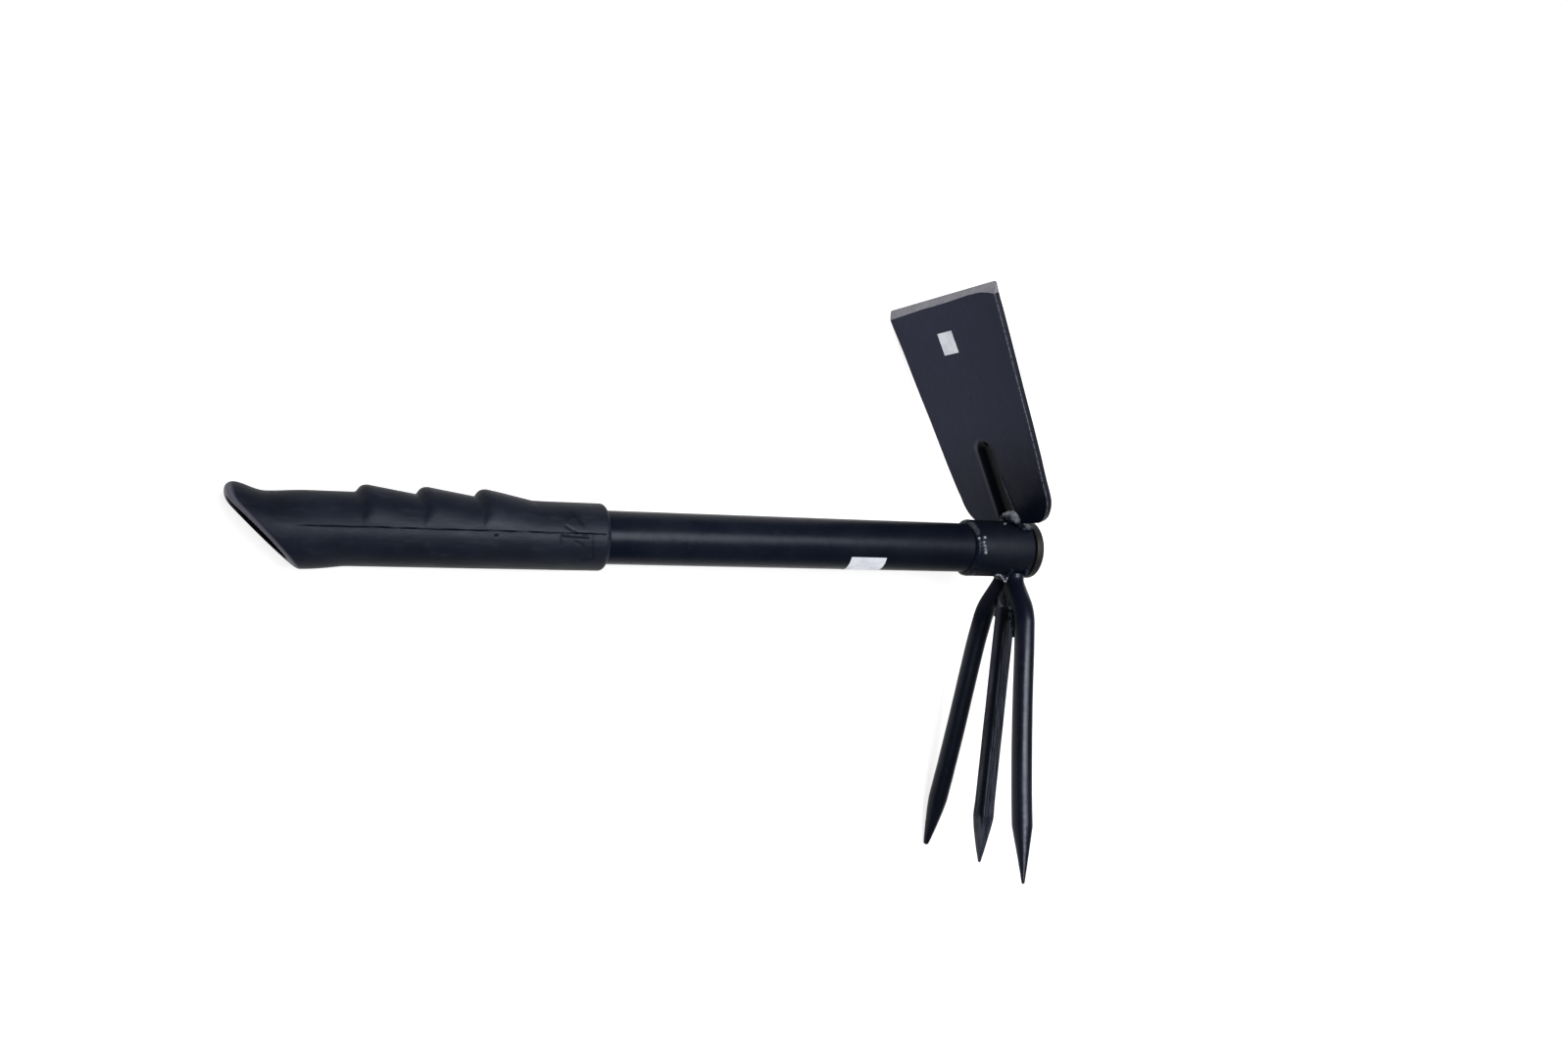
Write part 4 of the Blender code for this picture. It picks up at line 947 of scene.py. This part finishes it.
# thin pale paint, and painted highlights and glints on the welds
WELD_PALE_AND_GLINT = (0.145, 0.150, 0.168)
BARE_STEEL = (0.205, 0.200, 0.216)
BARE_STEEL_DARK = (0.142, 0.138, 0.152)
VINYL = (0.0050, 0.0062, 0.0105)
VINYL_DEEP = (0.0030, 0.0038, 0.0068)
VINYL_FLOW = (0.014, 0.016, 0.022)
# painted highlight on the rim of the butt
VINYL_RIM_HIGHLIGHT = (0.058, 0.057, 0.076)
# painted shade in the parting line and the nicks
VINYL_SEAM_SHADE = (0.0006, 0.0007, 0.0012)
PLUG = (0.0090, 0.0086, 0.0100)
PLUG_DEEP = (0.0060, 0.0057, 0.0068)
SILVER = (0.52, 0.53, 0.58)
SILVER_DULL = (0.40, 0.41, 0.46)
COOL = (0.80, 0.87, 1.0)
WHITE = (1.0, 1.0, 1.0)


def enamel_base(graph, paint, deep):
    """Colour, roughness and surface normal of the sprayed enamel."""
    cloud = graph.noise(0.035, 3.0)
    grain = graph.noise(0.9, 2.0)
    dust = graph.noise(0.22, 5.0, 0.65)
    colour = graph.mix(graph.range(cloud, 0.35, 0.65), deep, paint)
    colour = graph.mix(graph.range(dust, 0.60, 0.80, 0.0, 0.35), colour, PAINT_DUST)
    rough = graph.plus(graph.range(cloud, 0.3, 0.7, 0.29, 0.35), graph.range(dust, 0.5, 0.8, 0.0, 0.08))
    peel = graph.bump(grain, 0.00006, 0.35)
    return colour, rough, graph.bump(graph.noise(0.11, 2.0), 0.0006, 0.30, peel)


def enamel_material():
    """The enamel of the handle. Towards the head its colour turns darker, and it is duller under the spray that the
    welds got.
    """
    graph = Graph("black_enamel")
    colour, rough, normal = enamel_base(graph, PAINT, PAINT_DEEP)
    along = graph.node("SeparateXYZ", Vector=graph.place)
    # the colour turns darker towards the head
    colour = graph.mix(graph.times(graph.range(along, -170.0, -55.0), 0.85), colour, HEAD_END_DARKENING)
    rough = graph.plus(rough, graph.range(along, -120.0, -50.0, 0.0, 0.10))
    rough = graph.plus(rough, graph.range(along, -50.0, -26.0, 0.0, 0.12))
    return graph.set(
        Base_Color=colour, Roughness=rough, Normal=normal, Specular_Tint=COOL,
        Specular_IOR_Level=graph.range(along, -50.0, -26.0, 0.06, 0.10))


def tine_material():
    """The enamel on the tines: glossier than on the handle, streaked along the forged flats, and with painted sheen,
    highlights and reflection on the square bar.
    """
    graph = Graph("tine_enamel")
    flat, dull = graph.attribute("flat"), graph.attribute("dull")
    colour, rough, normal = enamel_base(graph, TINE_PAINT, TINE_PAINT_DEEP)
    streaks = graph.noise(0.9, 4.0, 0.6, (1.0, 0.07, 1.0))
    # forged streaks, with the painted sheen, highlights and reflection of the square bar
    shown = graph.times(flat, graph.range(streaks, 0.36, 0.62, 0.10, 1.0))
    colour = graph.mix(shown, colour, FORGED_STREAK_AND_SHEEN)
    normal = graph.bump(graph.times(streaks, flat), 0.0004, 0.5, normal)
    return graph.set(
        Base_Color=colour, Roughness=graph.plus(rough, graph.times(dull, 0.2)), Normal=normal,
        Specular_IOR_Level=graph.range(dull, 0.0, 1.0, 0.165, 0.035), Specular_Tint=COOL)


def weld_material():
    """The same enamel run thick over the welds: glossier, with pits, and pale on the high spots, as thin paint and as
    painted highlights and glints.
    """
    graph = Graph("weld_enamel")
    lumps = graph.noise(0.50, 4.0, 0.6)
    pits = graph.noise(1.6, 3.0, 0.6)
    # thin paint, and painted highlights and glints
    pale_and_glints = graph.times(graph.attribute("thin"), graph.range(lumps, 0.30, 0.52, 0.35, 1.0))
    colour = graph.mix(graph.range(lumps, 0.4, 0.7), PAINT_DEEP, PAINT)
    return graph.set(
        Base_Color=graph.mix(pale_and_glints, colour, WELD_PALE_AND_GLINT), Roughness=graph.range(pits, 0.35, 0.65, 0.22, 0.36),
        Normal=graph.bump(pits, 0.0002, 0.35, graph.bump(lumps, 0.0005, 0.5)), Specular_IOR_Level=0.05,
        Specular_Tint=COOL)


def blade_material():
    """Enamel with worn edges, a few scuffs, bare ground steel along the cutting edge, and painted reflection, shade
    and highlights.
    """
    graph = Graph("blade_enamel")
    plate, ground = graph.attribute("plate", "Vector"), graph.attribute("ground")
    # the blade's lighter enamel holds a painted reflection
    colour, rough, normal = enamel_base(graph, BLADE_PAINT_AND_REFLECTION, BLADE_PAINT_DEEP_AND_REFLECTION)
    across, along = graph.node("SeparateXYZ", Vector=plate).node.outputs[:2]
    # painted shade: darker towards the foot of the blade, and more so on its near side
    low = graph.range(along, 76.0, 26.0, 0.0, 1.0, "SMOOTHSTEP")
    near = graph.range(across, -34.0, 24.0, 0.60, 1.0)
    colour = graph.mix(graph.times(low, near), colour, BLADE_FOOT_SHADE)
    # painted shade in the groove and behind its lip
    colour = graph.mix(graph.attribute("hollow"), colour, GROOVE_SHADE)
    # painted highlight along the groove's far rim
    colour = graph.mix(graph.times(graph.attribute("sheen"), 0.75), colour, GROOVE_SHEEN)
    # painted shade on the cut sides and the back
    colour = graph.mix(graph.attribute("side"), colour, BLADE_SIDE_SHADE)
    chips = graph.noise(0.8, 4.0, 0.65)
    worn = graph.times(graph.attribute("edge"), graph.range(chips, 0.36, 0.56))
    # worn paint, and the painted highlight on the lip's crest
    colour = graph.mix(graph.times(worn, 0.75), colour, WORN_PAINT_AND_LIP_HIGHLIGHT)
    # two light scuffs on the inner face
    scuff_shape = graph.noise(0.9, 5.0, 0.7, place=plate)
    spots = []
    for middle_across, middle_along, wide, long in ((0.6, 84.0, 2.6, 4.6), (14.8, 93.0, 2.0, 4.0)):
        dx = graph.math("DIVIDE", graph.math("SUBTRACT", across, middle_across), wide)
        dy = graph.math("DIVIDE", graph.math("SUBTRACT", along, middle_along), long)
        spots.append(graph.range(graph.plus(graph.times(dx, dx), graph.times(dy, dy)), 0.0, 1.0, 1.0, 0.0))
    marks = graph.times(graph.math("MAXIMUM", *spots), graph.range(scuff_shape, 0.50, 0.57))
    colour = graph.mix(graph.times(marks, 0.7), colour, BLADE_SCUFF)
    normal = graph.bump(marks, 0.0002, 0.5, normal)
    # bare steel, with the fine strokes of the grinding disc across the edge
    strokes = graph.noise(1.0, 3.0, 0.6, (0.9, 0.12, 0.3), place=plate)
    stain = graph.noise(0.16, 4.0, 0.6, place=plate)
    steel = graph.mix(graph.range(stain, 0.35, 0.7), BARE_STEEL, BARE_STEEL_DARK)
    steel_normal = graph.bump(strokes, 0.00008, 0.6)
    return graph.set(
        Base_Color=graph.mix(ground, colour, steel), Metallic=graph.times(ground, 0.55),
        Roughness=graph.mix(ground, rough, graph.range(strokes, 0.3, 0.7, 0.42, 0.58)),
        Normal=graph.mix(ground, normal, steel_normal), Specular_IOR_Level=0.035, Specular_Tint=COOL)


def vinyl_material():
    """Soft moulded vinyl: dull, a little cloudy, with flow marks along it, a painted highlight on the butt's rim, and
    painted shade in the parting line and the nicks.
    """
    graph = Graph("moulded_vinyl")
    cloud = graph.noise(0.05, 4.0, 0.6)
    flow = graph.noise(0.30, 4.0, 0.6, (0.25, 1.0, 1.0))
    grain = graph.noise(2.2, 3.0, 0.6)
    colour = graph.mix(graph.range(cloud, 0.35, 0.68), VINYL_DEEP, VINYL)
    colour = graph.mix(graph.range(flow, 0.55, 0.75, 0.0, 0.35), colour, VINYL_FLOW)
    # painted highlight on the rim of the butt
    colour = graph.mix(graph.attribute("rim"), colour, VINYL_RIM_HIGHLIGHT)
    # painted shade in the parting line and the nicks
    seam = graph.times(graph.attribute("seam"), 0.95)
    colour = graph.mix(seam, colour, VINYL_SEAM_SHADE)
    sheen = graph.range(graph.node("SeparateXYZ", Vector=graph.place), -385.0, -235.0, 0.045, 0.090)
    return graph.set(
        Base_Color=colour, Roughness=graph.range(flow, 0.35, 0.7, 0.42, 0.54),
        Normal=graph.bump(grain, 0.00006, 0.45, graph.bump(flow, 0.0004, 0.35)), Specular_Tint=COOL,
        Specular_IOR_Level=graph.times(sheen, graph.range(seam, 0.0, 1.0, 1.0, 0.0)))


def plug_material():
    """Brownish grey moulded plastic, close to matt."""
    graph = Graph("plug_moulding")
    cloud = graph.noise(0.12, 4.0, 0.6)
    grain = graph.noise(1.8, 3.0, 0.6)
    return graph.set(
        Base_Color=graph.mix(graph.range(cloud, 0.35, 0.68), PLUG_DEEP, PLUG),
        Roughness=graph.range(grain, 0.3, 0.7, 0.42, 0.55), Normal=graph.bump(grain, 0.0001, 0.4),
        Specular_IOR_Level=0.10)


def foil_material():
    """Bare silver sticker: satin, faintly creased and finger-marked."""
    graph = Graph("bare_foil")
    crease = graph.noise(0.35, 4.0, 0.6)
    smear = graph.noise(0.20, 5.0, 0.65)
    grain = graph.noise(3.0, 2.0, 0.6)
    return graph.set(
        Base_Color=graph.mix(graph.range(smear, 0.4, 0.7), SILVER, SILVER_DULL), Metallic=0.35,
        Roughness=graph.range(smear, 0.35, 0.7, 0.28, 0.45),
        Normal=graph.bump(grain, 0.00003, 0.3, graph.bump(crease, 0.0003, 0.4)))


# ---- surroundings

def floor_material():
    """A white sweep: plain for the light that it sends on, and lifted to white where it shows as the background."""
    graph = Graph("white_floor")
    mottle = graph.noise(2.0, 2.0, place=graph.node("TexCoord", "Object"))
    tone = graph.mix(graph.range(mottle, 0.3, 0.7), (0.72, 0.72, 0.72), (0.74, 0.74, 0.74))
    lift = graph.node("Emission", Color=WHITE, Strength=0.82)
    shown = graph.node("AddShader", places={0: graph.node("BsdfDiffuse", Color=(0.20, 0.20, 0.20)), 1: lift})
    graph.nodes.remove(graph.shader)
    ray = graph.ray("Camera", "Glossy", "Transmission")
    return graph.show("Material Output", ray, graph.node("BsdfDiffuse", Color=tone), shown)


def floor():
    mesh = bpy.data.meshes.new("floor")
    half, low = FLOOR_SIZE / 2, min(0.0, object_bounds()[0][2])
    corners = [(-half, -half, low), (half, -half, low), (half, half, low), (-half, half, low)]
    mesh.from_pydata(corners, [], [(0, 1, 2, 3)])
    mesh.materials.append(floor_material())
    put_in_scene("floor", mesh)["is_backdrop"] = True


def soft_lamp(name, place, aim, size, power):
    data = bpy.data.lights.new(name, "AREA")
    data.shape = "RECTANGLE"
    data.size, data.size_y = size
    data.energy = power
    lamp = put_in_scene(name, data)
    lamp.location = place
    lamp.rotation_euler = (Vector(aim) - Vector(place)).to_track_quat("-Z", "Y").to_euler()


def surroundings():
    """The floor, two lamps, and a room that shows white past the floor but lights the tool only a little."""
    graph = Graph("studio", "worlds")
    graph.nodes.remove(graph.nodes["Background"])
    room = graph.node("Background", Color=(0.97, 0.98, 1.0), Strength=0.20)
    shown = graph.node("Background", Color=WHITE, Strength=1.0)
    bpy.context.scene.world = graph.show("World Output", graph.ray("Camera"), room, shown)
    floor()
    soft_lamp("overhead", (-0.03, 0.15, 1.30), (-0.03, 0.15, 0.0), (0.65, 0.60), 38.0)
    soft_lamp("overhead_head_side", (0.54, 0.30, 1.30), (0.54, 0.30, 0.0), (0.45, 0.50), 10.0)


def camera():
    data = bpy.data.cameras.new("camera")
    data.lens, data.sensor_width = CAMERA_LENS, CAMERA_SENSOR
    view = put_in_scene("camera", data)
    turn = Matrix.Identity(3)
    for degrees, axis in zip(CAMERA_TURNS, "XYZ"):
        turn = turn @ Matrix.Rotation(math.radians(degrees), 3, axis)
    place = TOOL_ORIGIN + TOOL_TURN @ Vector(CAMERA_PLACE) * MM
    view.matrix_world = Matrix.Translation(place) @ (TOOL_TURN @ turn).to_4x4()
    bpy.context.scene.camera = view


enamel, tine_enamel = enamel_material(), tine_material()
weld_enamel, blade_enamel = weld_material(), blade_material()
vinyl, plug_plastic, foil = vinyl_material(), plug_material(), foil_material()

tube_inner, socket_inner = TUBE_RADIUS - TUBE_WALL, TUBE_RADIUS + GAP / 3
pipe("tube_fine", "handle_tube", TUBE_HEAD_X, TUBE_BUTT_X, TUBE_RADIUS, tube_inner, 0.4, np.linspace(0.05, 0.95, 19))
pipe("sleeve_fine", "socket", SOCKET_HEAD_X - 0.6, SOCKET_TAIL_X, SOCKET_RADIUS, socket_inner, 0.6, (0.3, 0.7))
end_plug()
blade()
forged_bar("tine_upper_fine", "tine_upper", outer_tine_path(1), TINE_RADIUS, 28.0, 1.0, 21)
forged_bar("tine_lower_fine", "tine_lower", outer_tine_path(-1), TINE_RADIUS, 28.0, 1.3, 22, tip_radius=1.3)
forged_bar("tine_middle_fine", "tine_middle", middle_tine_path(), MIDDLE_TINE_RADIUS, 23.5, 1.2, 23, 5.0, 0.05)
grip()
ring_weld()
blade_welds()
fork_welds()
crotch_weld()
blade_sticker()
handle_sticker()
surroundings()
camera()

bpy.context.scene.view_settings.view_transform = "Standard"
